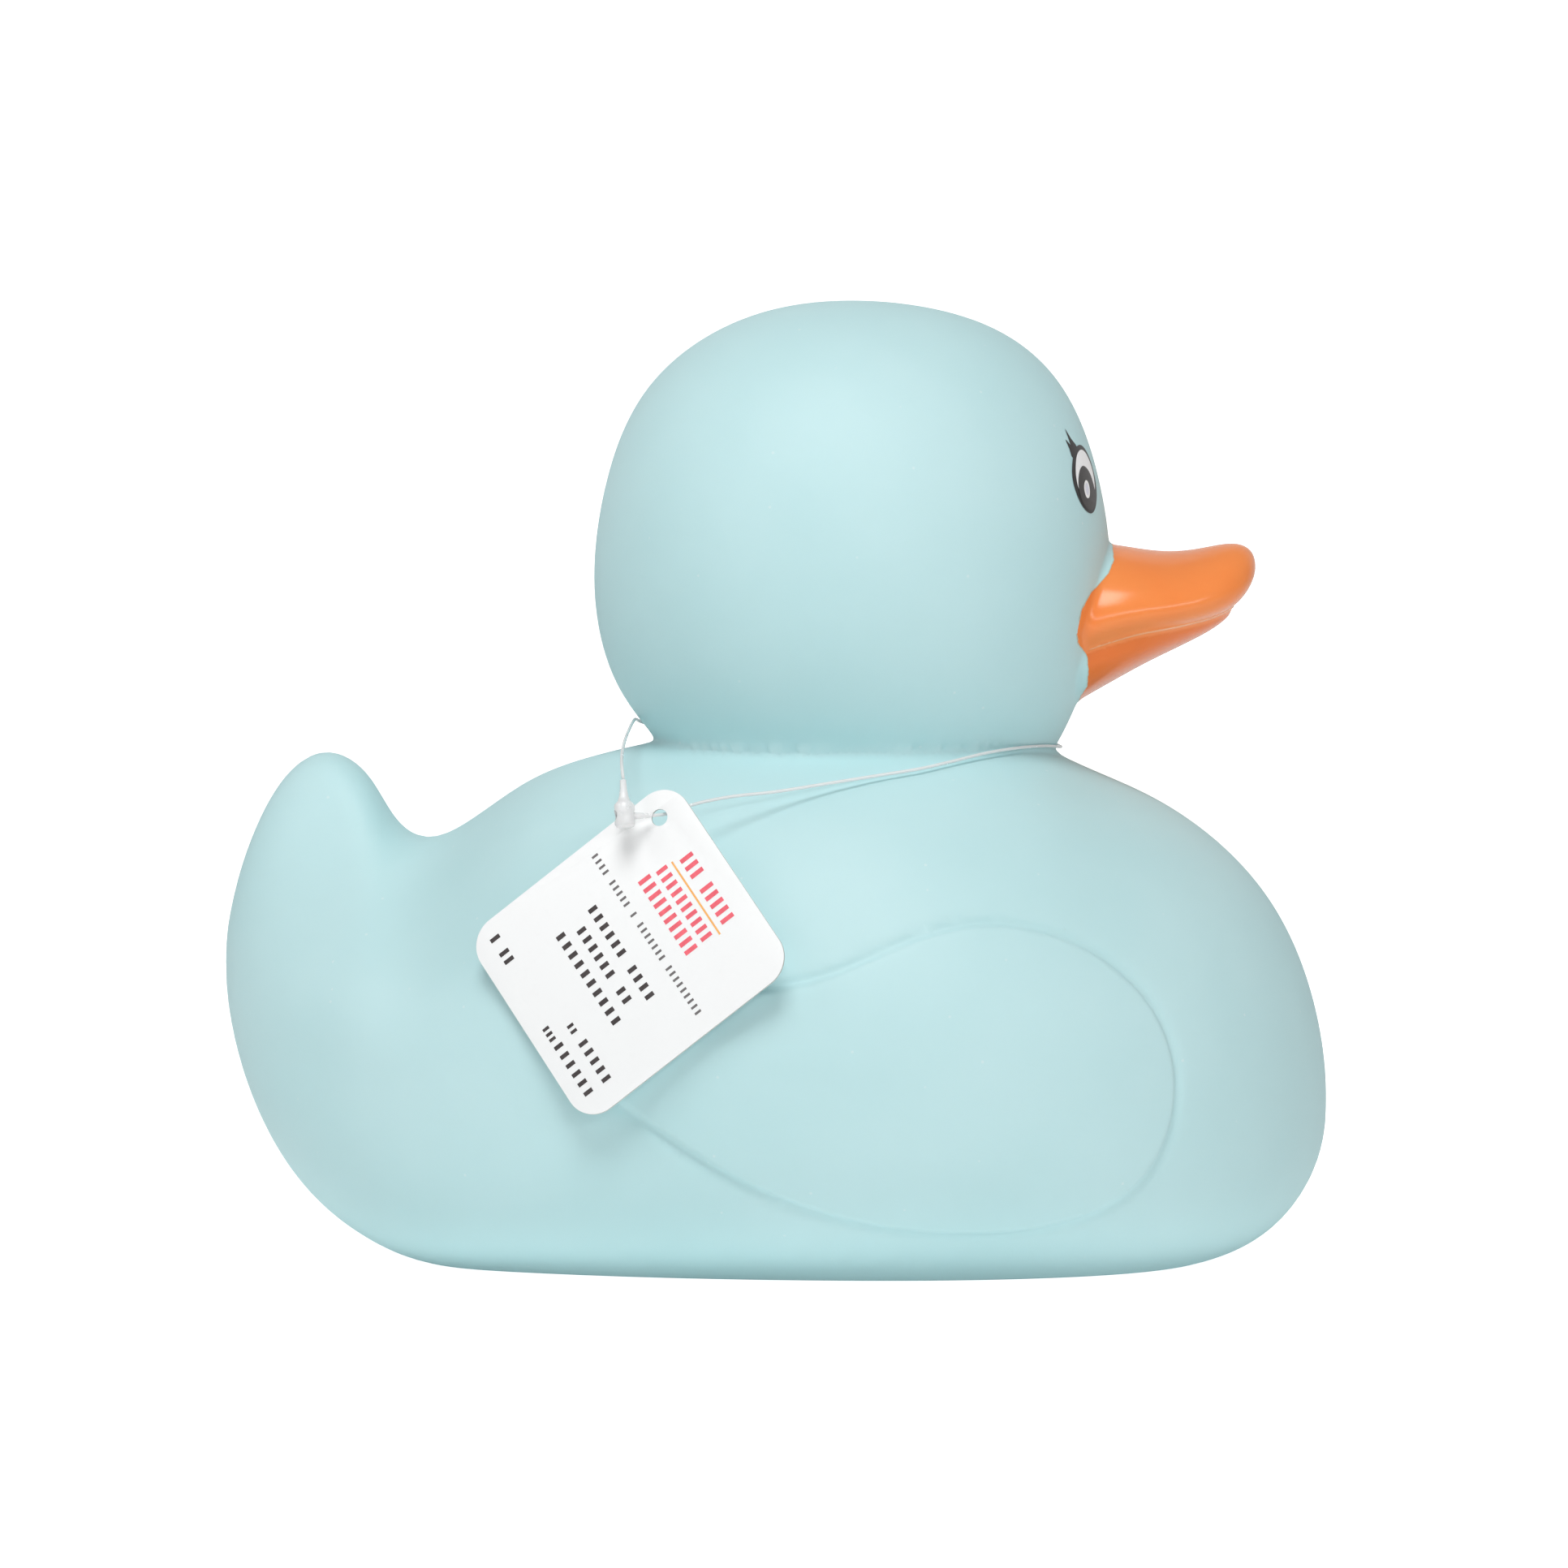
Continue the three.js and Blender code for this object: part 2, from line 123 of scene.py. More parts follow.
@contextmanager
def editing(obj: bpy.types.Object, chosen: Optional[np.ndarray] = None) -> Iterator[None]:
    """Hold an object in edit mode with its chosen vertices selected.

    Args:
        obj: The mesh object.
        chosen: One truth value for each vertex, or None for all of them.
    """
    only(obj)
    bpy.ops.object.mode_set(mode="EDIT")
    if chosen is None:
        bpy.ops.mesh.select_all(action="SELECT")
    else:
        bpy.ops.mesh.select_mode(type="VERT")
        bpy.ops.mesh.select_all(action="DESELECT")
        bpy.ops.object.mode_set(mode="OBJECT")
        obj.data.vertices.foreach_set("select", chosen)
        bpy.ops.object.mode_set(mode="EDIT")
    yield
    bpy.ops.object.mode_set(mode="OBJECT")


def joined(pieces: Sequence[bpy.types.Object], name: str) -> bpy.types.Object:
    """Join a few objects.

    Args:
        pieces: The objects.
        name: The name of the whole.

    Returns:
        The whole, as the active object.
    """
    bpy.ops.object.select_all(action="DESELECT")
    for piece in pieces:
        piece.select_set(True)
    bpy.context.view_layer.objects.active = pieces[0]
    if len(pieces) > 1:
        bpy.ops.object.join()
    return newest(name)


def modify(obj: bpy.types.Object, kind: str, **settings: object) -> None:
    """Add a modifier to the active object and apply it.

    Args:
        obj: The active object.
        kind: The modifier's type.
        settings: Its settings.
    """
    modifier = obj.modifiers.new(kind.lower(), kind)
    for name, value in settings.items():
        setattr(modifier, name, value)
    bpy.ops.object.modifier_apply(modifier=modifier.name)


def store(obj: bpy.types.Object, name: str, values: np.ndarray, domain: str = "POINT") -> None:
    """Store a number on each vertex or facet.

    Args:
        obj: The mesh object.
        name: The attribute's name.
        values: The numbers.
        domain: What they belong to.
    """
    attribute = obj.data.attributes.new(name, "FLOAT", domain)
    attribute.data.foreach_set("value", values)


def coat(obj: bpy.types.Object, finish: bpy.types.Material, degrees: float) -> None:
    """Smooth the active object and give it a finish.

    Args:
        obj: The active object.
        finish: The finish.
        degrees: The sharpest bend that is smoothed.
    """
    bpy.ops.object.shade_smooth_by_angle(angle=math.radians(degrees))
    obj.data.materials.append(finish)


def bake_place(obj: bpy.types.Object, place: Matrix) -> None:
    """Move an object to a place and leave the place in its mesh.

    Args:
        obj: The object to move.
        place: Its place in the row's frame.
    """
    only(obj)
    obj.matrix_world = place
    bpy.ops.object.transform_apply(location=True, rotation=True, scale=True)


def cut(obj: bpy.types.Object, cutter: bpy.types.Object) -> None:
    """Cut one object from another and drop the cutter.

    Args:
        obj: The object to cut.
        cutter: The closed object that is taken away.
    """
    modify(only(obj), "BOOLEAN", operation="DIFFERENCE", solver="EXACT", object=cutter)
    bpy.data.objects.remove(cutter, do_unlink=True)


def closed_curve(points: Sequence[Point2], count: int = 3600) -> np.ndarray:
    """Run a smooth closed curve through a few points.

    Args:
        points: The points in order.
        count: About how many samples to return.

    Returns:
        Samples of the curve as rows of two numbers.
    """
    p = np.array(points, float)
    n = len(p)
    step = np.linalg.norm(np.roll(p, -1, 0) - p, axis=1) ** 0.5
    system = np.zeros((n, n))
    sides = np.zeros_like(p)
    for i in range(n):
        before, after = step[i - 1], step[i]
        system[i, i - 1] += before
        system[i, i] += 2 * (before + after)
        system[i, (i + 1) % n] += after
        sides[i] = 6 * ((p[(i + 1) % n] - p[i]) / after - (p[i] - p[i - 1]) / before)
    bend = np.linalg.solve(system, sides)
    t = np.linspace(0, 1, max(4, count // n), endpoint=False)[:, None]
    spans = []
    for i in range(n):
        j = (i + 1) % n
        span = ((1 - t) ** 3 - (1 - t)) * bend[i] + (t ** 3 - t) * bend[j]
        spans.append(p[i] * (1 - t) + p[j] * t + span * step[i] ** 2 / 6)
    return np.vstack(spans)


def bisected(low: np.ndarray, high: np.ndarray, times: int,
             inside: Callable[[np.ndarray], np.ndarray]) -> tuple[np.ndarray, np.ndarray]:
    """Close in on the reaches at which lines leave a form.

    Args:
        low: Reaches that lie inside it.
        high: Reaches that lie outside it.
        times: How often to halve the range.
        inside: Tells whether one reach on each line lies inside.

    Returns:
        The furthest reaches inside and the nearest outside.
    """
    for _ in range(times):
        middle = (low + high) / 2
        within = inside(middle)
        low, high = np.where(within, middle, low), np.where(within, high, middle)
    return low, high


def reach_round(line: np.ndarray, turns: np.ndarray) -> np.ndarray:
    """Read how far a closed line lies from the origin.

    Args:
        line: Samples of the line as rows of two numbers.
        turns: The angles to look at.

    Returns:
        The reach at each angle.
    """
    angles = np.arctan2(line[:, 1], line[:, 0])
    order = angles.argsort()
    return np.interp(turns, angles[order], np.hypot(*line.T)[order], period=2 * math.pi)


def eased(t: np.ndarray) -> np.ndarray:
    """Rise from 0 to 1 and start and end level.

    Args:
        t: Shares of the rise.

    Returns:
        The eased shares.
    """
    t = np.clip(t, 0, 1)
    return t * t * t * (t * (6 * t - 15) + 10)


# Materials

class NodeSheet:
    """A material's nodes, added one at a time."""

    def __init__(self, name: str) -> None:
        """Start a material with its shader.

        Args:
            name: The material's name.
        """
        self.material = bpy.data.materials.new(name)
        self.material.use_nodes = True
        self.nodes = self.material.node_tree.nodes
        self.links = self.material.node_tree.links
        self.shader = self.nodes["Principled BSDF"]
        self.place = self.nodes.new("ShaderNodeTexCoord").outputs["Object"]

    def noise(self, per_metre: float, detail: float = 2.0,
              rough: float = 0.5) -> bpy.types.NodeSocket:
        """Add noise that follows the object.

        Args:
            per_metre: Its scale in features a metre.
            detail: Its octaves.
            rough: How strong the finer octaves are.

        Returns:
            Its value, about 0.5 on average.
        """
        node = self.nodes.new("ShaderNodeTexNoise")
        node.inputs["Scale"].default_value = per_metre
        node.inputs["Detail"].default_value = detail
        node.inputs["Roughness"].default_value = rough
        self.links.new(self.place, node.inputs["Vector"])
        return node.outputs["Fac"]

    def cells(self, per_metre: float) -> bpy.types.NodeSocket:
        """Add the distance to scattered points.

        Args:
            per_metre: Their scale in points a metre.

        Returns:
            The distance to the nearest one, in cells.
        """
        node = self.nodes.new("ShaderNodeTexVoronoi")
        node.inputs["Scale"].default_value = per_metre
        self.links.new(self.place, node.inputs["Vector"])
        return node.outputs["Distance"]

    def ranged(self, value: bpy.types.NodeSocket, low: float, high: float, to_low: float,
               to_high: float) -> bpy.types.NodeSocket:
        """Map a range of a value to another range, clamped.

        Args:
            value: The value.
            low: Start of its range.
            high: End of its range.
            to_low: Result at the start.
            to_high: Result at the end.

        Returns:
            The mapped value.
        """
        node = self.nodes.new("ShaderNodeMapRange")
        for name, number in (("From Min", low), ("From Max", high),
                             ("To Min", to_low), ("To Max", to_high)):
            node.inputs[name].default_value = number
        self.links.new(value, node.inputs["Value"])
        return node.outputs["Result"]

    def sum(self, a: bpy.types.NodeSocket, b: bpy.types.NodeSocket,
            share: float) -> bpy.types.NodeSocket:
        """Add a share of one value to another.

        Args:
            a: The first value.
            b: The value to add.
            share: The share of it.

        Returns:
            The sum.
        """
        node = self.nodes.new("ShaderNodeMath")
        node.operation = "MULTIPLY_ADD"
        self.links.new(b, node.inputs[0])
        node.inputs[1].default_value = share
        self.links.new(a, node.inputs[2])
        return node.outputs["Value"]

    def attribute(self, name: str) -> bpy.types.NodeSocket:
        """Read a number stored on the mesh.

        Args:
            name: The attribute's name.

        Returns:
            Its value.
        """
        node = self.nodes.new("ShaderNodeAttribute")
        node.attribute_name = name
        return node.outputs["Fac"]

    def blend(self, share: bpy.types.NodeSocket, a: Union[Colour, bpy.types.NodeSocket],
              b: Union[Colour, bpy.types.NodeSocket]) -> bpy.types.NodeSocket:
        """Blend two colours.

        Args:
            share: How much of the second.
            a: The first, a colour or a socket.
            b: The second, a colour or a socket.

        Returns:
            The blended colour.
        """
        node = self.nodes.new("ShaderNodeMix")
        node.data_type = "RGBA"
        self.links.new(share, node.inputs["Factor"])
        for side, name in ((a, 6), (b, 7)):
            if isinstance(side, tuple):
                node.inputs[name].default_value = (*side, 1.0)
            else:
                self.links.new(side, node.inputs[name])
        return node.outputs[2]

    def select(self, share: bpy.types.NodeSocket, a: Union[float, bpy.types.NodeSocket],
               b: Union[float, bpy.types.NodeSocket]) -> bpy.types.NodeSocket:
        """Blend two numbers.

        Args:
            share: How much of the second.
            a: The first, a number or a socket.
            b: The second, a number or a socket.

        Returns:
            The blended number.
        """
        node = self.nodes.new("ShaderNodeMix")
        self.links.new(share, node.inputs["Factor"])
        for side, name in ((a, 2), (b, 3)):
            if isinstance(side, float):
                node.inputs[name].default_value = side
            else:
                self.links.new(side, node.inputs[name])
        return node.outputs[0]

    def relief(self, height: bpy.types.NodeSocket, depth: float, strength: float) -> None:
        """Give the shader a bump.

        Args:
            height: The relief, from 0 to 1.
            depth: Its real depth in metres.
            strength: Its strength.
        """
        node = self.nodes.new("ShaderNodeBump")
        node.inputs["Distance"].default_value = depth
        node.inputs["Strength"].default_value = strength
        self.links.new(height, node.inputs["Height"])
        self.links.new(node.outputs["Normal"], self.shader.inputs["Normal"])

    def feed(self, name: str, value: object) -> None:
        """Set one of the shader's inputs.

        Args:
            name: The input.
            value: A number, a colour or a socket.
        """
        if isinstance(value, bpy.types.NodeSocket):
            self.links.new(value, self.shader.inputs[name])
        else:
            self.shader.inputs[name].default_value = value


@dataclass(frozen=True)
class VinylFinish:
    """Satin moulded vinyl with painted bills."""

    name: str = "aqua_vinyl_moulded"
    tone: Colour = (0.56, 0.795, 0.815)
    deep: Colour = (0.52, 0.765, 0.785)
    paint: Colour = (1.0, 0.305, 0.082)
    paint_deep: Colour = (0.99, 0.275, 0.068)
    # Painted highlight: a paler orange laid along the top of the mouth's lip.
    lip_and_painted_light: Colour = (1.0, 0.50, 0.26)
    # Painted shade: a deeper red orange laid just under the mouth line, beneath the upper bill.
    painted_shade_under_lip: Colour = (0.90, 0.20, 0.03)
    fringe: Colour = (0.40, 0.42, 0.26)
    dust: Colour = (0.80, 0.88, 0.88)
    satin: float = 0.56
    shine: float = 0.42
    gloss: float = 0.2

    def build(self) -> bpy.types.Material:
        """Build the material.

        Returns:
            The material. It reads "paint", millimetres inside the painted area, and the mouth mask
            that the skin stores, 1 on the lip of the mouth, where a painted highlight is laid, and
            -1 below it, where painted shade is laid.
        """
        sheet = NodeSheet(self.name)
        clouds = sheet.ranged(sheet.noise(22, 3), 0.35, 0.65, 0.0, 1.0)
        skin = sheet.blend(clouds, self.deep, self.tone)
        specks = sheet.ranged(sheet.cells(160), 0.055, 0.03, 0.0, 0.35)
        skin = sheet.blend(specks, skin, self.dust)
        edge = sheet.sum(sheet.attribute("paint"), sheet.noise(900, 3), 0.3)
        painted = sheet.ranged(edge, 0.2, 0.3, 0.0, 1.0)
        rim = sheet.ranged(edge, 0.0, 0.22, 0.0, 0.75)
        inner = sheet.ranged(edge, 0.3, 0.9, 0.55, 0.0)
        streaks = sheet.ranged(sheet.noise(60, 2), 0.3, 0.7, 0.0, 1.0)
        orange = sheet.blend(streaks, self.paint_deep, self.paint)
        orange = sheet.blend(inner, orange, self.paint_deep)
        mouth = sheet.attribute("lip_and_painted_light")
        # Painted shade: the paint turns deeper red orange just under the mouth line.
        orange = sheet.blend(sheet.ranged(mouth, -0.2, -0.9, 0.0, 1.0), orange, self.painted_shade_under_lip)
        # Painted highlight: the paint turns paler along the lip of the mouth.
        orange = sheet.blend(sheet.ranged(mouth, 0.35, 0.9, 0.0, 0.9), orange, self.lip_and_painted_light)
        skin = sheet.blend(rim, skin, self.fringe)
        sheet.feed("Base Color", sheet.blend(painted, skin, orange))
        worn = sheet.ranged(sheet.noise(45, 4), 0.3, 0.7, self.satin - 0.03, self.satin + 0.05)
        sheet.feed("Roughness", sheet.select(painted, worn, self.gloss))
        sheet.feed("Specular IOR Level", self.shine)
        sheet.feed("Subsurface Weight", 0.12)
        sheet.feed("Subsurface Radius", (0.004, 0.0035, 0.003))
        sheet.feed("Subsurface Scale", 0.5)
        sheet.feed("IOR", 1.5)
        grain = sheet.sum(sheet.noise(420, 2), sheet.noise(2400, 1), 0.35)
        sheet.relief(grain, 0.00005, 0.35)
        return sheet.material


@dataclass(frozen=True)
class PrintFinish:
    """Printed ink in one colour."""

    name: str
    ink: Colour
    gloss: float = 0.35
    spread: float = 0.12

    def build(self) -> bpy.types.Material:
        """Build the material.

        Returns:
            The material, with a slightly uneven tone.
        """
        sheet = NodeSheet(self.name)
        thin = tuple(min(1.0, c * (1 + self.spread) + 0.01) for c in self.ink)
        patch = sheet.ranged(sheet.noise(900, 3), 0.35, 0.7, 0.0, 1.0)
        sheet.feed("Base Color", sheet.blend(patch, self.ink, thin))
        sheet.feed("Roughness", sheet.ranged(patch, 0.0, 1.0, self.gloss, self.gloss + 0.08))
        sheet.relief(sheet.noise(3000, 1), 0.00001, 0.2)
        return sheet.material


@dataclass(frozen=True)
class CardFinish:
    """Coated white card with faint fibres."""

    name: str = "tag_card_coated"
    face: Colour = (0.95, 0.96, 0.96)
    shade: Colour = (0.89, 0.9, 0.9)
    edge: Colour = (0.55, 0.55, 0.53)

    def build(self) -> bpy.types.Material:
        """Build the material.

        Returns:
            The material. It reads the attribute "rim", 1 on the cut edge.
        """
        sheet = NodeSheet(self.name)
        fibre = sheet.ranged(sheet.noise(700, 5, 0.7), 0.55, 0.85, 0.0, 0.5)
        colour = sheet.blend(fibre, self.face, self.shade)
        cut_edge = sheet.ranged(sheet.attribute("rim"), 0.4, 0.6, 0.0, 1.0)
        sheet.feed("Base Color", sheet.blend(cut_edge, colour, self.edge))
        sheet.feed("Roughness", sheet.ranged(sheet.noise(120, 3), 0.3, 0.7, 0.36, 0.46))
        sheet.relief(sheet.noise(1500, 3), 0.00002, 0.25)
        return sheet.material


@dataclass(frozen=True)
class NylonFinish:
    """Milky clear nylon."""

    name: str = "clear_nylon_milky"
    tint: Colour = (0.985, 0.99, 0.99)
    haze: Colour = (0.95, 0.965, 0.97)
    clear: float = 0.22

    def build(self) -> bpy.types.Material:
        """Build the material.

        Returns:
            The material, with flow clouds and a slight relief.
        """
        sheet = NodeSheet(self.name)
        cloud = sheet.ranged(sheet.noise(450, 3), 0.3, 0.7, 0.0, 1.0)
        sheet.feed("Base Color", sheet.blend(cloud, self.tint, self.haze))
        sheet.feed("Roughness", sheet.ranged(cloud, 0.0, 1.0, 0.16, 0.28))
        sheet.feed("Transmission Weight", self.clear)
        sheet.feed("IOR", 1.5)
        sheet.relief(sheet.noise(1200, 2), 0.00003, 0.3)
        return sheet.material


@dataclass(frozen=True)
class PlugFinish:
    """Moulded white plastic of the squeaker."""

    name: str = "white_plastic_moulded"
    tone: Colour = (0.80, 0.80, 0.77)
    grime: Colour = (0.55, 0.55, 0.52)

    def build(self) -> bpy.types.Material:
        """Build the material.

        Returns:
            The material, with moulding marks and handling grime.
        """
        sheet = NodeSheet(self.name)
        marks = sheet.ranged(sheet.noise(260, 4), 0.55, 0.8, 0.0, 0.4)
        sheet.feed("Base Color", sheet.blend(marks, self.tone, self.grime))
        sheet.feed("Roughness", sheet.ranged(marks, 0.0, 0.4, 0.4, 0.55))
        sheet.relief(sheet.noise(1400, 3), 0.00003, 0.3)
        return sheet.material


# The duck's forms

class SectionLoft:
    """A closed form lofted along X from a side outline and a half outline in plan.

    All its sizes are in millimetres. The PINCH sizes say how the tail draws in.
    """

    PINCH, PINCH_START, PINCH_RUN, PINCH_FOOT, PINCH_RISE = 0.62, -40, 50, 38, 52

    def __init__(self, side: Sequence[Point2], plan: Sequence[Point2], level: float, upper: float,
                 lower: float, pinched: bool = False) -> None:
        """Sample the outlines.

        Args:
            side: Outline in side view as X and Z.
            plan: Half outline in plan as X and Y, from rear to front.
            level: Height of the widest line, as a share of the height.
            upper: Power of the section above it.
            lower: Power of the section below it.
            pinched: Whether the sides draw in towards the tail.
        """
        curve = closed_curve(side)
        rear = int(curve[:, 0].argmin())
        curve = np.roll(curve, -rear, 0)
        front = int(curve[:, 0].argmax())
        one, other = curve[:front + 1], np.vstack([curve[front:], curve[:1]])[::-1]
        if one[:, 1].mean() < other[:, 1].mean():
            one, other = other, one
        self.rear, self.front = float(one[0, 0]), float(one[-1, 0])
        self.top = (np.maximum.accumulate(one[:, 0]), one[:, 1])
        self.bottom = (np.maximum.accumulate(other[:, 0]), other[:, 1])
        mirrored = [(x, -y) for x, y in reversed(plan) if y > 0]
        halves = closed_curve([*plan, *mirrored])
        halves = np.roll(halves, -int(halves[:, 0].argmin()), 0)
        half = halves[:int(halves[:, 0].argmax()) + 1]
        if half[:, 1].mean() < 0:
            half = half * np.array([1, -1])
        share = (half[:, 0] - half[0, 0]) / (half[-1, 0] - half[0, 0])
        self.plan = (np.maximum.accumulate(share), np.maximum(half[:, 1], 0))
        self.level, self.upper, self.lower, self.pinched = level, upper, lower, pinched

    def section(self, x: np.ndarray) -> tuple[np.ndarray, np.ndarray, np.ndarray, np.ndarray]:
        """Read the section at places along X.

        Args:
            x: The places.

        Returns:
            Top, bottom, half width and height of the widest line.
        """
        top = np.interp(x, *self.top)
        bottom = np.interp(x, *self.bottom)
        width = np.interp((x - self.rear) / (self.front - self.rear), *self.plan)
        return top, bottom, width, bottom + self.level * (top - bottom)

    def narrowing(self, x: np.ndarray, z: np.ndarray) -> np.ndarray:
        """Share of the width that is kept at a place.

        Args:
            x: Places along X.
            z: Places along Z.

        Returns:
            The shares.
        """
        if not self.pinched:
            return np.ones_like(x)
        behind = eased((self.PINCH_START - x) / self.PINCH_RUN)
        return 1 - self.PINCH * behind * eased((z - self.PINCH_FOOT) / self.PINCH_RISE)

    def half_width(self, x: np.ndarray, z: np.ndarray) -> np.ndarray:
        """Half width of the form at places in side view.

        Args:
            x: Places along X.
            z: Places along Z.

        Returns:
            The half widths, 0 outside the form.
        """
        top, bottom, width, middle = self.section(x)
        above = (z - middle) / np.maximum(top - middle, 1e-6)
        below = (middle - z) / np.maximum(middle - bottom, 1e-6)
        high = np.clip(1 - np.clip(above, 0, 1) ** self.upper, 0, 1) ** (1 / self.upper)
        low = np.clip(1 - np.clip(below, 0, 1) ** self.lower, 0, 1) ** (1 / self.lower)
        reach = width * np.where(above > 0, high, low) * self.narrowing(x, z)
        within = (x > self.rear) & (x < self.front) & (above < 1) & (below < 1)
        return np.where(within, reach, 0)

    def holds(self, p: np.ndarray) -> np.ndarray:
        """Whether points lie inside the form.

        Args:
            p: Rows of X, Y and Z.

        Returns:
            One truth value for each.
        """
        return np.abs(p[:, 1]) < self.half_width(p[:, 0], p[:, 2])

    def distance(self, p: np.ndarray) -> np.ndarray:
        """Distance of points from the form's surface, along the lines from its middle.

        Args:
            p: Rows of X, Y and Z.

        Returns:
            The distances, below 0 inside.
        """
        middle_x = (self.rear + self.front) / 2
        top, bottom, _, _ = self.section(np.array([middle_x]))
        centre = np.array([middle_x, 0, (top[0] + bottom[0]) / 2])
        away = p - centre
        length = np.linalg.norm(away, axis=1)
        line = away / length[:, None]
        surface, _ = bisected(np.zeros(len(p)), np.full(len(p), 130.0), 17,
                              lambda reach: self.holds(centre + line * reach[:, None]))
        return length - surface

    def wrapped(self, unit: np.ndarray) -> np.ndarray:
        """Map the points of a unit sphere to the form's surface.

        Args:
            unit: Rows on the sphere, its poles on X.

        Returns:
            Rows on the form.
        """
        x = self.rear + (1 + unit[:, 0]) / 2 * (self.front - self.rear)
        top, bottom, width, middle = self.section(x)
        turn = np.arctan2(unit[:, 2], unit[:, 1])
        rise, across = np.sin(turn), np.cos(turn)
        power = np.where(rise > 0, self.upper, self.lower)
        reach = np.where(rise > 0, top - middle, middle - bottom)
        z = middle + np.sign(rise) * reach * np.abs(rise) ** (2 / power)
        y = np.sign(across) * width * np.abs(across) ** (2 / power) * self.narrowing(x, z)
        return np.stack([x, y, z], 1)

    def blank(self, name: str, segments: int = 96, rings: int = 64) -> bpy.types.Object:
        """Model the form from a sphere.

        Args:
            name: The object's name.
            segments: Facets round each section.
            rings: Sections along X.

        Returns:
            The closed object, in metres.
        """
        bpy.ops.mesh.primitive_uv_sphere_add(segments=segments, ring_count=rings, radius=1)
        obj = newest(name)
        place_vertices(obj, self.wrapped(coordinates(obj)[:, [2, 0, 1]]) * MM)
        return obj


@dataclass(frozen=True)
class DuckSizes:
    """Outlines and sizes of the moulding, in millimetres."""

    body_side: tuple[Point2, ...] = (
        (-103.2, 53.8), (-101.6, 66), (-98.4, 76.2), (-92.2, 87.6), (-84.8, 92.4), (-77.3, 88.9),
        (-71.2, 79.6), (-65.4, 76.4), (-57.5, 79.6), (-46.7, 86.8), (-34.5, 91.5), (-15, 95.7),
        (18, 98.8), (46, 94.8), (57.5, 89.9), (70.6, 84), (83.6, 75), (93.4, 63.4), (99.8, 49),
        (102.9, 33.5), (102.2, 20), (96.2, 9), (84.5, 1), (58, -3.01), (5, -3.5), (-45, -2.59),
        (-68, 0), (-83.5, 8.3),
        (-93.6, 20.5), (-100.4, 36.5))
    body_plan: tuple[Point2, ...] = (
        (-103.2, 0), (-98, 20), (-84, 38.5), (-60, 58), (-30, 71.5), (5, 78), (40, 76), (70, 63.5),
        (90, 43), (100.5, 19), (103.2, 0))
    head_x: float = 14.5
    head_z: float = 126
    head_length: float = 97
    head_height: float = 101.3
    head_width: float = 95.2
    head_side: tuple[Point2, ...] = (
        (-0.05, 1.003), (0.495, 0.92), (0.806, 0.68), (0.951, 0.318), (0.99, 0), (0.956, -0.267),
        (0.868, -0.466), (0.757, -0.67), (0.464, -0.908), (0.01, -0.997), (-0.464, -0.888),
        (-0.751, -0.626), (-0.915, -0.405), (-0.998, -0.085), (-0.957, 0.318), (-0.794, 0.68),
        (-0.476, 0.916))
    upper_bill_side: tuple[Point2, ...] = (
        (29.5, -5), (36, 4.6), (49, 5.3), (57, 4.2), (64, 4.5), (71.3, 5.5), (74.4, 4.1),
        (75.2, 1.3),
        (74.2, -2.2), (70.9, -6.2), (63.5, -9.6), (52.8, -12.2), (44, -15.4), (35.5, -16.5))
    upper_bill_plan: tuple[Point2, ...] = (
        (29.5, 0), (31.5, 0.6), (37.5, 0.93), (45.5, 1), (53.5, 0.96), (61.5, 0.84), (68.5, 0.65),
        (73.4, 0.37), (75.2, 0))
    upper_bill_width: float = 40
    lower_bill_side: tuple[Point2, ...] = (
        (30.5, -20), (34.5, -26), (42.7, -23.5), (48.5, -20.2), (55.3, -16.5), (63.5, -12.5),
        (69.3, -8.9), (70.7, -6.6), (65.5, -5.6), (51.5, -8.5), (37.5, -13))
    lower_bill_plan: tuple[Point2, ...] = (
        (30.5, 0), (32.5, 0.6), (39.5, 0.97), (47.5, 1), (55.5, 0.88), (63.5, 0.62), (69.3, 0.3),
        (70.7, 0))
    lower_bill_width: float = 34
    wing_x: float = 28
    wing_z: float = 38
    wing_side: tuple[Point2, ...] = (
        (-71, 12), (-64.5, 3.5), (-53.2, -5.1), (-38.6, -14.5), (-18.3, -23.1), (2.1, -26.6),
        (22.6, -25.1), (37.1, -17.1), (42.4, -2.5), (38.2, 11.9), (25.7, 22.9), (9.2, 27),
        (-5.1, 24),
        (-18.3, 18.5), (-29.9, 16), (-44, 14), (-58, 12.8))
    wing_step: float = 0.8
    wing_bulge: float = 1.7
    step_run: float = 1.5
    groove: float = 0.5
    paint_edge: tuple[Point2, ...] = (
        (98, 54.5), (103.3, 56), (105.2, 57.3), (108.5, 57.7), (110.9, 57.5), (113.3, 56.1),
        (115.6, 56.1), (119.5, 56.9), (122.6, 58.3), (126.1, 61.2), (128.6, 62.1), (130.8, 61.9),
        (136, 61.8))
    voxel: float = 1.8
    beak_rear: float = 53
    beak_foot: float = 97
    beak_top: float = 134
    beak_reach: float = 24
    neck_foot: float = 84
    neck_top: float = 104
    neck_rear: float = -32
    neck_front: float = 60
    neck_round: float = 2.2
    root_round: float = 1.3
    bill_round: float = 0.9
    bill_fill: float = 3.2
    fill_front: float = 80
    fill_run: float = 12
    mouth_shift: float = 0.3
    lip_height: float = 0.25
    lip_width: float = 0.38
    lip_start: float = 56.6
    lip_run: float = 2
    bore_x: float = 8
    bores: tuple[Point3, ...] = ((10.5, -2, 1.8), (6.5, -2, 5), (9, 4.2, 15))
    smooth_degrees: float = 48
    smooth_over: float = 60


@dataclass(frozen=True)
class Join:
    """A form and the radius that rounds it into its neighbours, in millimetres."""

    form: SectionLoft
    radius: Union[float, np.ndarray]


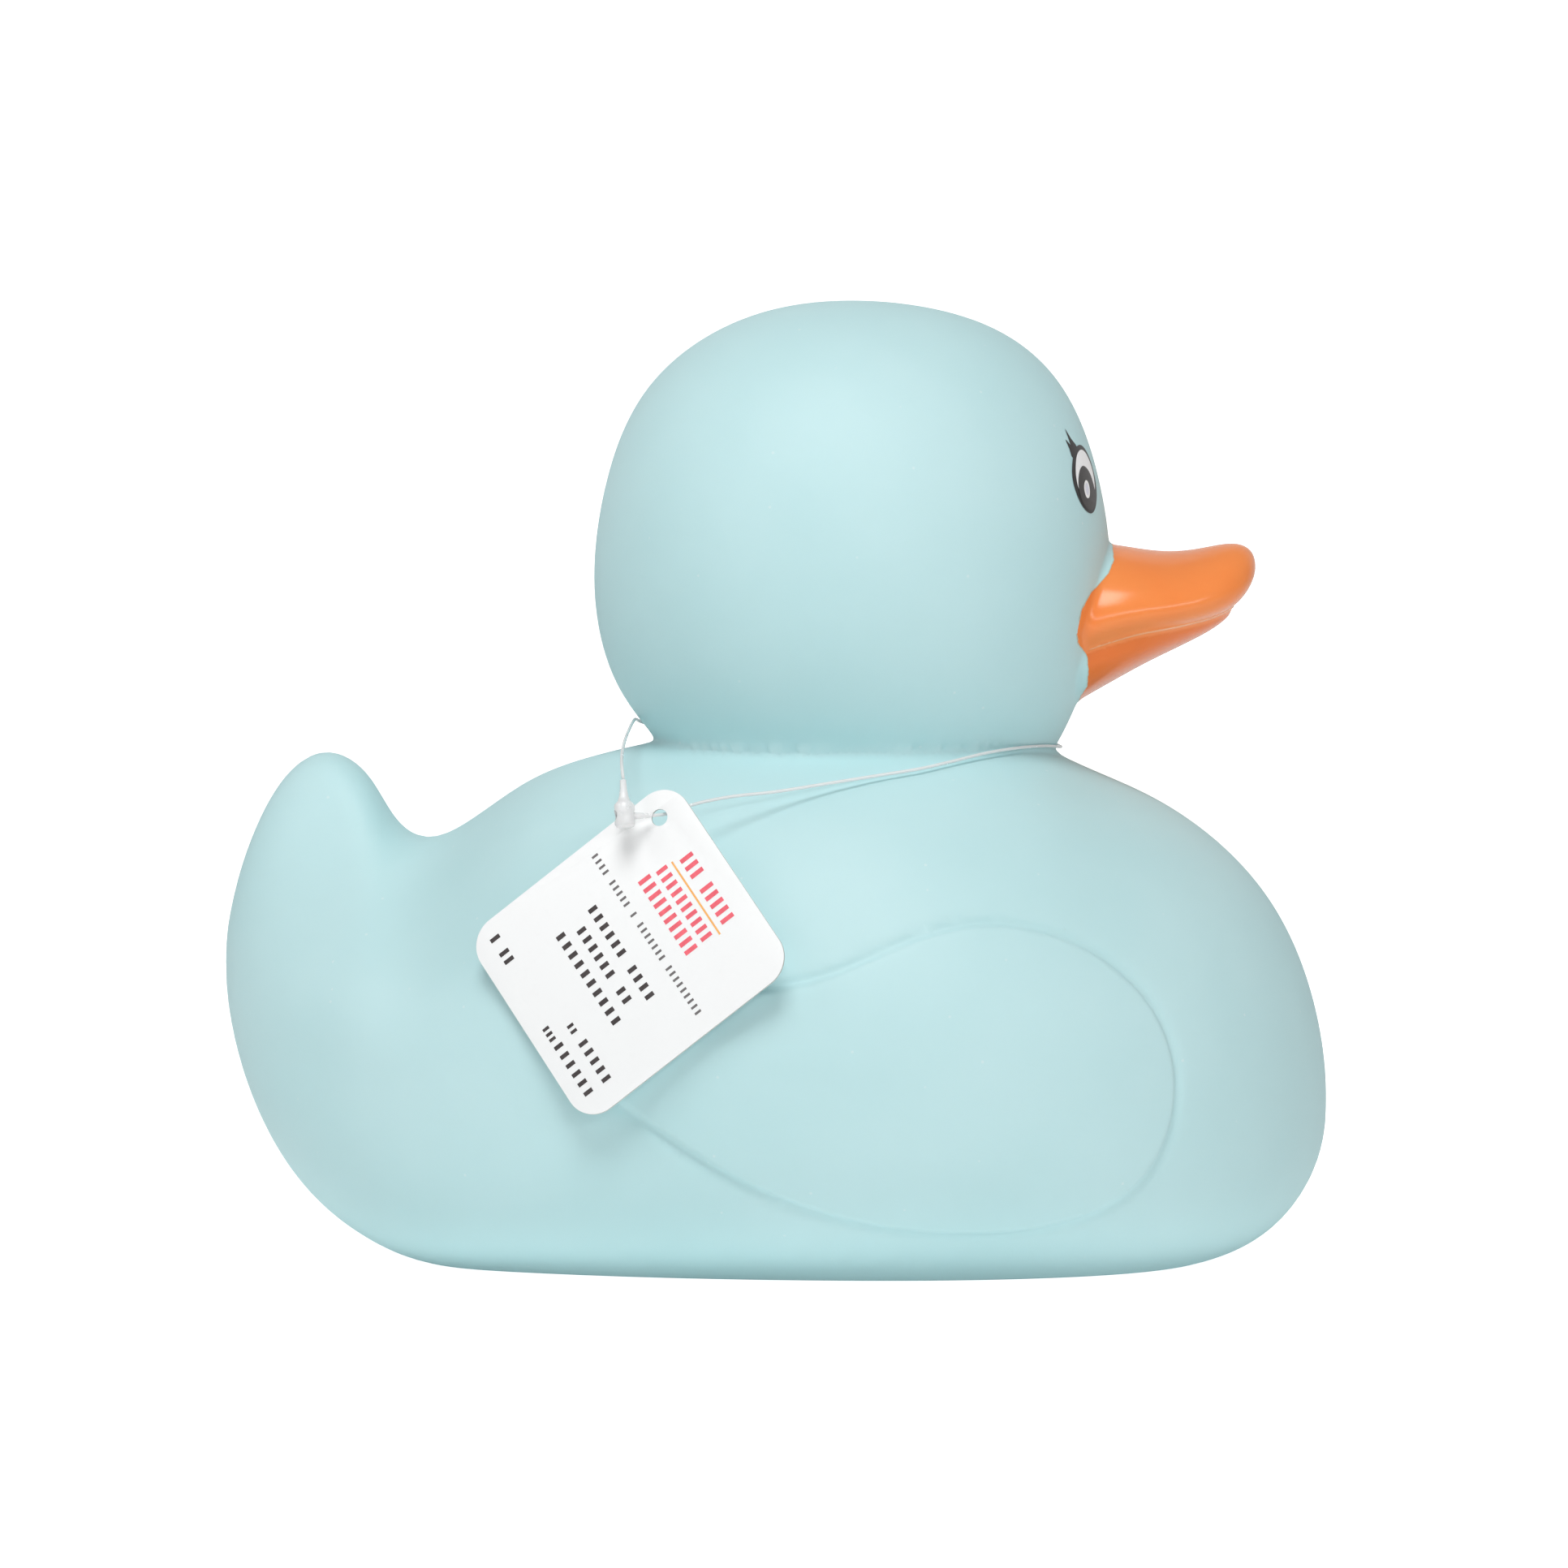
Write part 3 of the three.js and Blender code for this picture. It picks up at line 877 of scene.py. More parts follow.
class DuckSkin:
    """The duck's moulding: body, head, bills and wing pads in one skin."""

    def __init__(self, sizes: DuckSizes = DuckSizes()) -> None:
        """Prepare the forms.

        Args:
            sizes: Outlines and sizes.
        """
        self.sizes = s = sizes
        self.body = SectionLoft(s.body_side, s.body_plan, 0.42, 2.3, 3.4, pinched=True)
        half = s.head_length / 2
        turns = [math.radians(a) for a in range(180, -1, -30)]
        self.head = SectionLoft(
            [(s.head_x + x * half, s.head_z + z * s.head_height / 2) for x, z in s.head_side],
            [(s.head_x + half * math.cos(t),
              s.head_width / 2 * math.sin(t) if 0.01 < t < 3.13 else 0.0) for t in turns],
            0.5, 2.1, 2.1)
        self.upper = self._bill(s.upper_bill_side, s.upper_bill_plan, s.upper_bill_width,
                                0.3, 1.75, 2.6)
        self.lower = self._bill(s.lower_bill_side, s.lower_bill_plan, s.lower_bill_width,
                                0.6, 2.1, 2.1)
        self.wing_line = closed_curve(s.wing_side, 900) + np.array([s.wing_x, s.wing_z])

    def _bill(self, side: Sequence[Point2], plan: Sequence[Point2], width: float, level: float,
              upper: float, lower: float) -> SectionLoft:
        """Loft one bill from outlines taken from the head's centre.

        Args:
            side: Outline in side view.
            plan: X with shares of the half width.
            width: The bill's width.
            level: Height of its widest line, as a share.
            upper: Power above it.
            lower: Power below it.

        Returns:
            The form.
        """
        s = self.sizes
        return SectionLoft([(s.head_x + x, s.head_z + z) for x, z in side],
                           [(s.head_x + x, share * width / 2) for x, share in plan],
                           level, upper, lower)

    def _holds(self, p: np.ndarray) -> np.ndarray:
        """Whether points lie inside the moulding, without the wings.

        Args:
            p: Rows of X, Y and Z in millimetres.

        Returns:
            One truth value for each.
        """
        forms = (self.body, self.head, self.upper, self.lower)
        inside = np.any([form.holds(p) for form in forms], axis=0)
        return inside & (p[:, 2] > 0)

    def _wing_distance(self, p: np.ndarray) -> tuple[np.ndarray, np.ndarray]:
        """Distance of points from the wing's outline in side view.

        Args:
            p: Rows of X, Y and Z in millimetres.

        Returns:
            The distance, below 0 inside, and the share of the way out from the wing's middle.
        """
        s = self.sizes
        line = self.wing_line
        centre = np.array([s.wing_x, s.wing_z])
        away = p[:, [0, 2]] - centre
        turns = np.arctan2(away[:, 1], away[:, 0])
        share = np.hypot(away[:, 0], away[:, 1]) / reach_round(line - centre, turns)
        near = (share < 1.6) & (share > 0.2)
        distance = np.where(share < 1, -20.0, 20.0)
        picked = p[near][:, [0, 2]]
        nearest = np.empty(len(picked))
        for start in range(0, len(picked), 4000):
            part = picked[start:start + 4000]
            gap = np.hypot(part[:, :1] - line[:, 0], part[:, 1:] - line[:, 1])
            nearest[start:start + 4000] = gap.min(1)
        distance[near] = np.where(share[near] < 1, -nearest, nearest)
        return distance, share

    def _join(self) -> bpy.types.Object:
        """Model the forms, join them and remesh them as one skin.

        Returns:
            The skin, with even facets.
        """
        blanks = [self.body.blank("duck_skin", 128, 96), self.head.blank("head"),
                  self.upper.blank("upper_bill", 64, 48), self.lower.blank("lower_bill", 64, 48)]
        skin = joined(blanks, "duck_skin")
        modify(skin, "REMESH", mode="VOXEL", voxel_size=self.sizes.voxel * MM)
        with editing(skin):
            bpy.ops.mesh.bisect(plane_co=(0, 0, 0), plane_no=(0, 0, 1), clear_inner=True,
                                use_fill=True, threshold=0.00001)
        return skin

    def _snap(self, skin: bpy.types.Object, reach: float,
              keep: Optional[np.ndarray] = None) -> None:
        """Set the skin's vertices on the forms' surface.

        Args:
            skin: The skin.
            reach: How far a vertex may move, in millimetres.
            keep: Vertices that stay as they are.
        """
        p = coordinates(skin) / MM
        n = vertex_normals(skin)
        sound = self._holds(p - n * reach) & ~self._holds(p + n * reach) & (p[:, 2] > 0.6)
        if keep is not None:
            sound &= ~keep
        low, high = bisected(np.full(len(p), -reach), np.full(len(p), reach), 13,
                             lambda middle: self._holds(p + n * middle[:, None]))
        p[sound] += n[sound] * ((low + high) / 2)[sound, None]
        place_vertices(skin, p * MM)

    @staticmethod
    def _rounded(q: np.ndarray, joins: Sequence[Join]) -> np.ndarray:
        """Distance of points from the rounded union of a few forms.

        Args:
            q: Rows of X, Y and Z in millimetres.
            joins: The forms, each with the radius that rounds it into those before it.

        Returns:
            The distances, below 0 inside.
        """
        total = joins[0].form.distance(q)
        for join in joins[1:]:
            other = join.form.distance(q)
            share = np.clip(0.5 + (other - total) / (2 * join.radius), 0, 1)
            total = other * (1 - share) + total * share - join.radius * share * (1 - share)
        return total

    def _settle_bills(self, skin: bpy.types.Object, beak: np.ndarray) -> None:
        """Set the beak's vertices on the rounded union of the bills and the head.

        Args:
            skin: The skin.
            beak: The vertices of the bills and their root.
        """
        places = coordinates(skin) / MM
        p = places[beak]
        s = self.sizes
        between = s.bill_round + s.bill_fill * eased((s.fill_front - p[:, 0]) / s.fill_run)
        joins = (Join(self.upper, 0), Join(self.lower, between), Join(self.head, s.root_round))
        here = self._rounded(p, joins)
        step = 0.05
        slope = np.stack([(self._rounded(p + step * axis, joins) - here) / step
                          for axis in np.eye(3)], 1)
        steep = np.maximum((slope ** 2).sum(1), 0.2)
        for _ in range(3):
            p = p - np.clip(here / steep, -1.5, 1.5)[:, None] * slope
            here = self._rounded(p, joins)
        places[beak] = p
        place_vertices(skin, places * MM)

    def _settle_neck(self, skin: bpy.types.Object, neck: np.ndarray) -> None:
        """Set the neck's vertices on the rounded union of head and body.

        Args:
            skin: The skin.
            neck: The vertices by the crease.
        """
        joins = (Join(self.head, 0), Join(self.body, self.sizes.neck_round))
        places = coordinates(skin) / MM
        p = places[neck]
        out = p[:, :2] - np.array([self.sizes.head_x, 0])
        out = 0.82 * out / np.linalg.norm(out, axis=1)[:, None]
        line = np.column_stack([out, np.full(len(p), 0.57)])
        low, high = bisected(np.full(len(p), -4.0), np.full(len(p), 4.0), 12,
                             lambda middle: self._rounded(p + line * middle[:, None], joins) < 0)
        places[neck] = p + line * ((low + high) / 2)[:, None]
        place_vertices(skin, places * MM)

    def _beak_area(self, skin: bpy.types.Object) -> np.ndarray:
        """Find the vertices of the bills and their root.

        Args:
            skin: The skin.

        Returns:
            One truth value for each vertex.
        """
        p = coordinates(skin) / MM
        s = self.sizes
        level = (p[:, 2] > s.beak_foot) & (p[:, 2] < s.beak_top)
        return level & (p[:, 0] > s.beak_rear) & (np.abs(p[:, 1]) < s.beak_reach)

    def _neck_area(self, skin: bpy.types.Object, reach: float) -> np.ndarray:
        """Find the vertices by the crease between head and body.

        Args:
            skin: The skin.
            reach: How near, in millimetres.

        Returns:
            One truth value for each vertex.
        """
        p = coordinates(skin) / MM
        s = self.sizes
        band = (p[:, 2] > s.neck_foot) & (p[:, 2] < s.neck_top)
        band &= (p[:, 0] > s.neck_rear) & (p[:, 0] < s.neck_front) & ~self._beak_area(skin)
        near = [np.abs(form.distance(p[band])) < reach for form in (self.head, self.body)]
        band[band] = near[0] & near[1]
        return band

    def _refine(self, skin: bpy.types.Object, chosen: np.ndarray, cuts: int) -> None:
        """Divide the facets at chosen vertices.

        Args:
            skin: The skin.
            chosen: One truth value for each vertex.
            cuts: Cuts for each edge.
        """
        with editing(skin, chosen):
            bpy.ops.mesh.subdivide(number_cuts=cuts, quadcorner="INNERVERT")

    def _soften(self, skin: bpy.types.Object, chosen: np.ndarray, times: int) -> None:
        """Round the chosen part of the skin a little.

        Args:
            skin: The skin.
            chosen: One truth value for each vertex.
            times: How often to smooth.
        """
        with editing(skin, chosen):
            bpy.ops.mesh.vertices_smooth(factor=0.5, repeat=times)

    def _raise_lip(self, skin: bpy.types.Object, beak: np.ndarray) -> None:
        """Raise a fine lip along the mouth, where the bills meet.

        Args:
            skin: The skin.
            beak: The vertices of the bills.
        """
        s = self.sizes
        places = coordinates(skin) / MM
        p = places[beak]
        apart = np.abs(self.upper.distance(p) - self.lower.distance(p) + s.mouth_shift)
        # The lip's profile raises the ridge, and it also marks where the paint is paled as a
        # painted highlight.
        lip_and_painted_light = np.exp(-(apart / s.lip_width) ** 2) * eased((p[:, 0] - s.lip_start) / s.lip_run)
        out = p * np.array([0, 1, 0]) + np.array([5, 0, 0])
        out /= np.linalg.norm(out, axis=1)[:, None]
        places[beak] = p + s.lip_height * out * lip_and_painted_light[:, None]
        place_vertices(skin, places * MM)
        value = np.zeros(len(places))
        # The stored value is 1 where the lip carries a painted highlight, and it falls to -1 just
        # under the mouth line, where painted shade is laid.
        below = self.upper.distance(p) - self.lower.distance(p) - s.mouth_shift
        below = eased(below / 1.5)
        value[beak] = lip_and_painted_light - below * (1 - lip_and_painted_light)
        store(skin, "lip_and_painted_light", value)

    def _mouth_area(self, skin: bpy.types.Object, reach: float) -> np.ndarray:
        """Find the vertices by the line where the bills meet.

        Args:
            skin: The skin.
            reach: How near, in millimetres.

        Returns:
            One truth value for each vertex.
        """
        p = coordinates(skin) / MM
        band = self._beak_area(skin)
        apart = self.upper.distance(p[band]) - self.lower.distance(p[band])
        band[band] = np.abs(apart + self.sizes.mouth_shift) < reach
        return band

    def _raise_wings(self, skin: bpy.types.Object) -> None:
        """Raise the wing pads from the flanks.

        Args:
            skin: The skin.
        """
        s = self.sizes
        p = coordinates(skin) / MM
        n = vertex_normals(skin)
        distance, share = self._wing_distance(p)
        flank = np.abs(p[:, 1]) > 20
        step = eased((s.step_run / 2 - distance) / s.step_run)
        pad = (s.wing_step + s.wing_bulge * np.clip(1 - share ** 2, 0, 1)) * step
        line = s.groove * np.exp(-((distance - 0.9) / 0.8) ** 2)
        p[flank] += n[flank] * (pad - line)[flank, None]
        place_vertices(skin, p * MM)

    def _bore(self, skin: bpy.types.Object) -> None:
        """Open the base for the squeaker.

        Args:
            skin: The skin.
        """
        for radius, foot, head in self.sizes.bores:
            bpy.ops.mesh.primitive_cylinder_add(
                vertices=64, radius=radius * MM, depth=(head - foot) * MM,
                location=(self.sizes.bore_x * MM, 0, (foot + head) / 2 * MM))
            cut(skin, newest("bore"))

    def _mark_paint(self, skin: bpy.types.Object) -> None:
        """Store how far inside the painted bills each vertex lies.

        Args:
            skin: The skin.
        """
        s = self.sizes
        p = coordinates(skin) / MM
        heights, edges = np.array(s.paint_edge).T
        reach = s.head_width / 2

        def bulge(y: np.ndarray) -> np.ndarray:
            """How far the head reaches forward at places across it."""
            return s.head_length / 2 * np.sqrt(np.clip(1 - (y / reach) ** 2, 0, 1))

        at_side = bulge(np.array(16.0))
        edge = np.interp(p[:, 2], heights, edges) + 0.3 * (bulge(p[:, 1]) - at_side)
        beak = (p[:, 2] > 96) & (p[:, 2] < 136) & (p[:, 0] > 50) & (np.abs(p[:, 1]) < 24)
        inside = np.full(len(p), -20.0)
        clear = self.head.distance(p[beak]) * 1.5 + 0.9
        inside[beak] = np.minimum((p[:, 0] - edge)[beak], clear)
        store(skin, "paint", inside)

    def build(self, finish: bpy.types.Material, outer: np.ndarray) -> bpy.types.Object:
        """Model the moulding.

        Args:
            finish: Its material.
            outer: Places in metres whose box the moulding keeps within.

        Returns:
            The moulding.
        """
        skin = self._join()
        self._snap(skin, 1.6)
        self._refine(skin, self._beak_area(skin), 2)
        p = coordinates(skin) / MM
        distance, _ = self._wing_distance(p)
        self._refine(skin, (np.abs(distance) < 2.6) & (np.abs(p[:, 1]) > 20), 2)
        self._refine(skin, self._neck_area(skin, 2.4), 2)
        for reach in (1.3, 0.9):
            self._refine(skin, self._mouth_area(skin, reach), 1)
        beak = self._beak_area(skin)
        self._snap(skin, 0.9, beak)
        neck = self._neck_area(skin, 3.2)
        mouth = self._mouth_area(skin, 1.8)
        self._soften(skin, neck, 12)
        for _ in range(3):
            self._settle_neck(skin, neck)
            self._soften(skin, neck, 4)
            self._soften(skin, beak, 1)
            self._soften(skin, mouth, 6)
            self._settle_bills(skin, beak)
        self._settle_neck(skin, neck)
        self._soften(skin, neck, 3)
        self._soften(skin, mouth, 6)
        self._raise_lip(skin, beak)
        self._raise_wings(skin)
        self._bore(skin)
        place_vertices(skin, np.clip(coordinates(skin), outer.min(0), outer.max(0)))
        self._mark_paint(skin)
        skin.data.materials.clear()
        coat(only(skin), finish, self.sizes.smooth_degrees)
        with editing(skin, coordinates(skin)[:, 2] > self.sizes.smooth_over * MM):
            bpy.ops.mesh.mark_sharp(clear=True)
        return skin


# Printed eyes

class Side(Enum):
    """The side that an eye is on, as the sign of its Y."""

    NEAR = -1.0
    FAR = 1.0


@dataclass(frozen=True)
class InkSpot:
    """One layer of an eye: an oval of ink on the head, as azimuths in degrees and heights in mm."""

    name: str
    outline: tuple[Point2, ...]
    ink: PrintFinish
    lift: float


class Eyes:
    """The two printed eyes."""

    INK = PrintFinish("eye_ink_dark", (0.022, 0.02, 0.02))
    WHITE = PrintFinish("eye_ink_white", (0.97, 0.98, 0.985), spread=0.02)
    IRIS = PrintFinish("eye_ink_iris", (0.04, 0.036, 0.035))
    GLINT = PrintFinish("eye_ink_glint", (0.74, 0.75, 0.84))
    SPOTS = (
        InkSpot("rim", ((21.5, 149.8), (25.6, 148.9), (28.6, 146.9), (30.7, 143.6), (29.9, 140.4),
                        (27.6, 138.2), (23.6, 137.2), (19.6, 138.5), (16.2, 141.4), (14.9, 144.3),
                        (15.6, 147.3), (18, 149.2)), INK, 0.06),
        InkSpot("lash_low", ((28.9, 150.7), (27.5, 149.9), (26, 148.6), (27.2, 147.6),
                             (28.4, 147.6),
                             (28.5, 149)), INK, 0.055),
        InkSpot("lash_high", ((27, 152.7), (25.7, 151), (23.8, 149.4), (25.4, 147.8), (27.3, 148),
                              (27.2, 150.3)), INK, 0.05),
        InkSpot("white", ((21.6, 148.9), (25.4, 147.9), (27.8, 145.9), (29, 143.2), (27.8, 140.6),
                          (23.6, 139.4), (19.6, 140.6), (17.2, 142.6), (16.2, 145.2),
                (17.8, 147.9)),
                WHITE, 0.09),
        InkSpot("iris", ((24, 145.9), (26.9, 144.6), (28.7, 141.9), (27.9, 139.3), (25.6, 138),
                         (22.6, 137.9), (19.8, 139.3), (18.4, 141.7), (19.4, 144.3), (21.5, 145.6)),
                IRIS, 0.12),
        InkSpot("glint_rim", ((23.6, 143.3), (25, 142.9), (26, 141.7), (25.8, 140.5), (24.8, 140),
                              (23.4, 140.4), (22.5, 141.7), (22.6, 142.8)), WHITE, 0.15),
        InkSpot("glint", ((23.8, 142.8), (24.7, 142.5), (25.3, 141.6), (25.1, 140.9), (24.6, 140.6),
                          (23.7, 140.9), (23.1, 141.8), (23.2, 142.4)), GLINT, 0.18),
    )

    def __init__(self, head: SectionLoft, axis_x: float) -> None:
        """Keep the surface that the eyes are printed on.

        Args:
            head: The head's form.
            axis_x: X of the head's upright axis.
        """
        self.head = head
        self.axis_x = axis_x

    def _on_head(self, azimuth: np.ndarray, z: np.ndarray, lift: float, side: Side) -> np.ndarray:
        """Find places on the head.

        Args:
            azimuth: Angles from the front, in radians.
            z: Heights.
            lift: How far over the surface, in millimetres.
            side: Which eye it is.

        Returns:
            Rows of X, Y and Z in millimetres.
        """
        def places(r: np.ndarray) -> np.ndarray:
            """Places at reaches from the head's axis."""
            x = self.axis_x + r * np.cos(azimuth)
            return np.stack([x, side.value * r * np.sin(azimuth), z], 1)

        surface, _ = bisected(np.full(len(z), 10.0), np.full(len(z), 70.0), 30,
                              lambda r: self.head.holds(places(r)))
        return places(surface + lift)

    def _spot(self, spot: InkSpot, side: Side, finish: bpy.types.Material) -> bpy.types.Object:
        """Print one layer of one eye.

        Args:
            spot: The layer.
            side: Which eye it is.
            finish: Its ink.

        Returns:
            The thin patch.
        """
        bpy.ops.mesh.primitive_circle_add(vertices=72, radius=1, fill_type="TRIFAN")
        patch = newest(f"eye_{side.name.lower()}_{spot.name}")
        with editing(patch):
            bpy.ops.mesh.subdivide(number_cuts=3)
        disc = coordinates(patch)
        line = closed_curve(spot.outline, 720)
        middle = np.array(spot.outline).mean(0)
        scale = math.radians(47)
        away = (line - middle) * np.array([scale, 1])
        turn = np.arctan2(disc[:, 1], disc[:, 0])
        radii = reach_round(away, turn)
        share = np.hypot(disc[:, 0], disc[:, 1])
        share = np.where(share > 0.998, 1.0, share)
        azimuth = np.radians(middle[0] + share * radii * np.cos(turn) / scale)
        height = middle[1] + share * radii * np.sin(turn)
        place_vertices(patch, self._on_head(azimuth, height, spot.lift, side) * MM)
        if side is Side.FAR:
            with editing(patch):
                bpy.ops.mesh.flip_normals()
        bpy.ops.object.shade_smooth()
        patch.data.materials.append(finish)
        return patch

    def build(self) -> list[bpy.types.Object]:
        """Print both eyes.

        Returns:
            Their layers.
        """
        inks = {spot.ink: spot.ink.build() for spot in self.SPOTS}
        return [self._spot(spot, side, inks[spot.ink]) for side in Side for spot in self.SPOTS]


# Hang tag

@dataclass(frozen=True)
class PrintRow:
    """One row of plain blocks, from its start, in the card's own millimetres."""

    name: str
    start: Point2
    words: tuple[int, ...]
    block: Point2
    pitch: float
    ink: PrintFinish


@dataclass(frozen=True)
class TagSizes:
    """Sizes of the card, in millimetres and degrees."""

    width: float = 42.5
    height: float = 47
    thickness: float = 0.5
    corner: float = 5.5
    hole: float = 3
    hole_place: Point2 = (-16.45, 17.9)
    turn: Point3 = (-21.8, -15.5, 50.2)


class HangTag:
    """The card tag with its plain print."""

    INK_LIFT = 0.025
    WORD_GAP = 0.9
    CORAL = PrintFinish("tag_ink_coral", (0.86, 0.135, 0.175), 0.4)
    ORANGE = PrintFinish("tag_ink_orange", (0.96, 0.45, 0.12), 0.4)
    GREY = PrintFinish("tag_ink_grey", (0.16, 0.15, 0.15), 0.4)
    DARK = PrintFinish("tag_ink_dark", (0.055, 0.045, 0.045), 0.4)
    ROWS = (
        PrintRow("coral_top", (-7.6, 16.6), (3, 5), (0.85, 2.7), 1.75, CORAL),
        PrintRow("rule", (-8.3, 15.15), (1,), (16.5, 0.35), 17, ORANGE),
        PrintRow("coral_middle", (-8.6, 11.9), (10,), (0.8, 2.3), 1.68, CORAL),
        PrintRow("coral_low", (-9.2, 8.2), (10,), (0.85, 2.6), 1.76, CORAL),
        PrintRow("grey_row", (-18.5, 3.75), (4, 5, 1, 7, 9), (0.45, 1.3), 1.24, GREY),
        PrintRow("dark_top", (-10.9, -2.1), (6, 4), (0.85, 1.8), 1.98, DARK),
        PrintRow("dark_middle", (-9, -5.9), (6, 2), (0.85, 1.8), 1.98, DARK),
        PrintRow("dark_low", (-10.6, -9.6), (10,), (0.9, 1.8), 2.12, DARK),
        PrintRow("small_one", (4.1, -16.7), (2,), (0.6, 1.3), 1.2, DARK),
        PrintRow("large_one", (8.1, -16.7), (5,), (0.8, 1.8), 1.98, DARK),
        PrintRow("small_two", (1.7, -20.7), (3,), (0.6, 1.3), 1.15, DARK),
        PrintRow("large_two", (5.7, -20.7), (6,), (0.8, 1.8), 2.05, DARK),
        PrintRow("corner_row", (-18.1, -19.9), (1, 2), (0.8, 2), 1.7, DARK),
    )

    def __init__(self, outline: np.ndarray, sizes: TagSizes = TagSizes()) -> None:
        """Find the card's place.

        Args:
            outline: Places on the card, in metres, that span it evenly.
            sizes: Sizes of the card.
        """
        self.sizes = sizes
        yaw, lean, spin = (math.radians(a) for a in sizes.turn)
        turn = (Matrix.Rotation(yaw, 4, "Z") @ Matrix.Rotation(lean, 4, "X")
                @ Matrix.Rotation(spin, 4, "Y") @ Matrix.Rotation(math.radians(90), 4, "X"))
        face = turn @ Vector((0, 0, sizes.thickness / 2 * MM))
        self.place = Matrix.Translation(Vector((outline.min(0) + outline.max(0)) / 2) + face) @ turn

    def _card(self, finish: bpy.types.Material) -> bpy.types.Object:
        """Model the card.

        Args:
            finish: Its material.

        Returns:
            The card, in place.
        """
        s = self.sizes
        bpy.ops.mesh.primitive_plane_add(size=1)
        card = newest("hang_tag_card")
        down = (0, 0, -s.thickness * MM)
        with editing(card):
            bpy.ops.transform.resize(value=(s.width * MM, s.height * MM, 1))
            bpy.ops.mesh.bevel(offset=s.corner * MM, segments=16, affect="VERTICES")
            bpy.ops.mesh.extrude_region_move(TRANSFORM_OT_translate={"value": down})
            bpy.ops.mesh.select_all(action="SELECT")
            bpy.ops.mesh.normals_make_consistent(inside=False)
        bpy.ops.mesh.primitive_cylinder_add(
            vertices=48, radius=s.hole / 2 * MM, depth=4 * MM,
            location=(s.hole_place[0] * MM, s.hole_place[1] * MM, 0))
        cut(card, newest("hole"))
        modify(card, "BEVEL", width=0.07 * MM, segments=2, limit_method="ANGLE",
               angle_limit=math.radians(60))
        rim = np.abs(np.array([f.normal.z for f in card.data.polygons])) < 0.5
        store(card, "rim", rim.astype(float), "FACE")
        coat(card, finish, 30)
        bake_place(card, self.place)
        return card

    def _row(self, row: PrintRow, finish: bpy.types.Material) -> bpy.types.Object:
        """Print one row.

        Args:
            row: The row.
            finish: Its ink.

        Returns:
            The row's blocks, in place.
        """
        wide, high = row.block
        x = row.start[0]
        words = []
        for count in row.words:
            bpy.ops.mesh.primitive_plane_add(size=1)
            word = newest(f"tag_{row.name}")
            middle = ((x + wide / 2) * MM, (row.start[1] + high / 2) * MM, self.INK_LIFT * MM)
            with editing(word):
                bpy.ops.transform.resize(value=(wide * MM, high * MM, 1))
                bpy.ops.transform.translate(value=middle)
            modify(word, "ARRAY", count=count, use_relative_offset=False,
                   use_constant_offset=True, constant_offset_displace=(row.pitch * MM, 0, 0))
            words.append(word)
            x += (count + self.WORD_GAP) * row.pitch
        line = joined(words, f"tag_{row.name}")
        line.data.materials.append(finish)
        bake_place(line, self.place)
        return line

    def build(self) -> tuple[bpy.types.Object, list[bpy.types.Object]]:
        """Model the tag.

        Returns:
            The card, and the rows of its print.
        """
        card = self._card(CardFinish().build())
        inks = {row.ink: row.ink.build() for row in self.ROWS}
        return card, [self._row(row, inks[row.ink]) for row in self.ROWS]


# Nylon loop and its lock

@dataclass(frozen=True)
class LoopSizes:
    """Route and sizes of the loop and its lock, in millimetres."""

    route: tuple[Point3, ...] = (
        (-26.8, -65.9, 90.9), (-27.1, -62.5, 92.6), (-27.3, -54, 94.6), (-27.2, -42, 96.3),
        (-26.8, -26, 97.8), (-26.5, -10, 98.6), (-26.3, 2, 98.5), (-25.2, 10.5, 97.6),
        (-21.8, 19, 96.5), (-14.8, 27.6, 95.6), (-4.6, 34.9, 95.2), (8.5, 38.7, 95.1),
        (21.5, 38.7, 95.1), (34, 34.6, 94.9),
        (43.4, 27.6, 94.4), (51.1, 13.8, 93.9), (53.3, 1, 93.5), (52.4, -9.5, 93.9),
        (49.2, -18.6, 94.4),
        (44.2, -26.8, 94.4), (38.2, -34.2, 93.8), (31.4, -41, 92.5), (26, -45.2, 91.5),
        (18, -49, 90.4),
        (9.3, -52.6, 89.2), (-0.2, -56.4, 87.9), (-8, -59.6, 87.2), (-14.5, -62.6, 86),
        (-19.1, -64.9, 84.5), (-21.5, -67, 84.3))
    diameter: float = 0.6
    length: float = 300
    socket_top: Point3 = (-26.8, -66.2, 90.5)
    socket_line: Point3 = (0.05, -0.3, -0.95)
    socket_diameter: float = 3.6
    socket_length: float = 8.6
    barrel: float = 4.2
    bore: float = 2
    pin_end: Point3 = (-21.9, -67.3, 84.3)
    pin_diameter: float = 1.3
    pin_length: float = 6


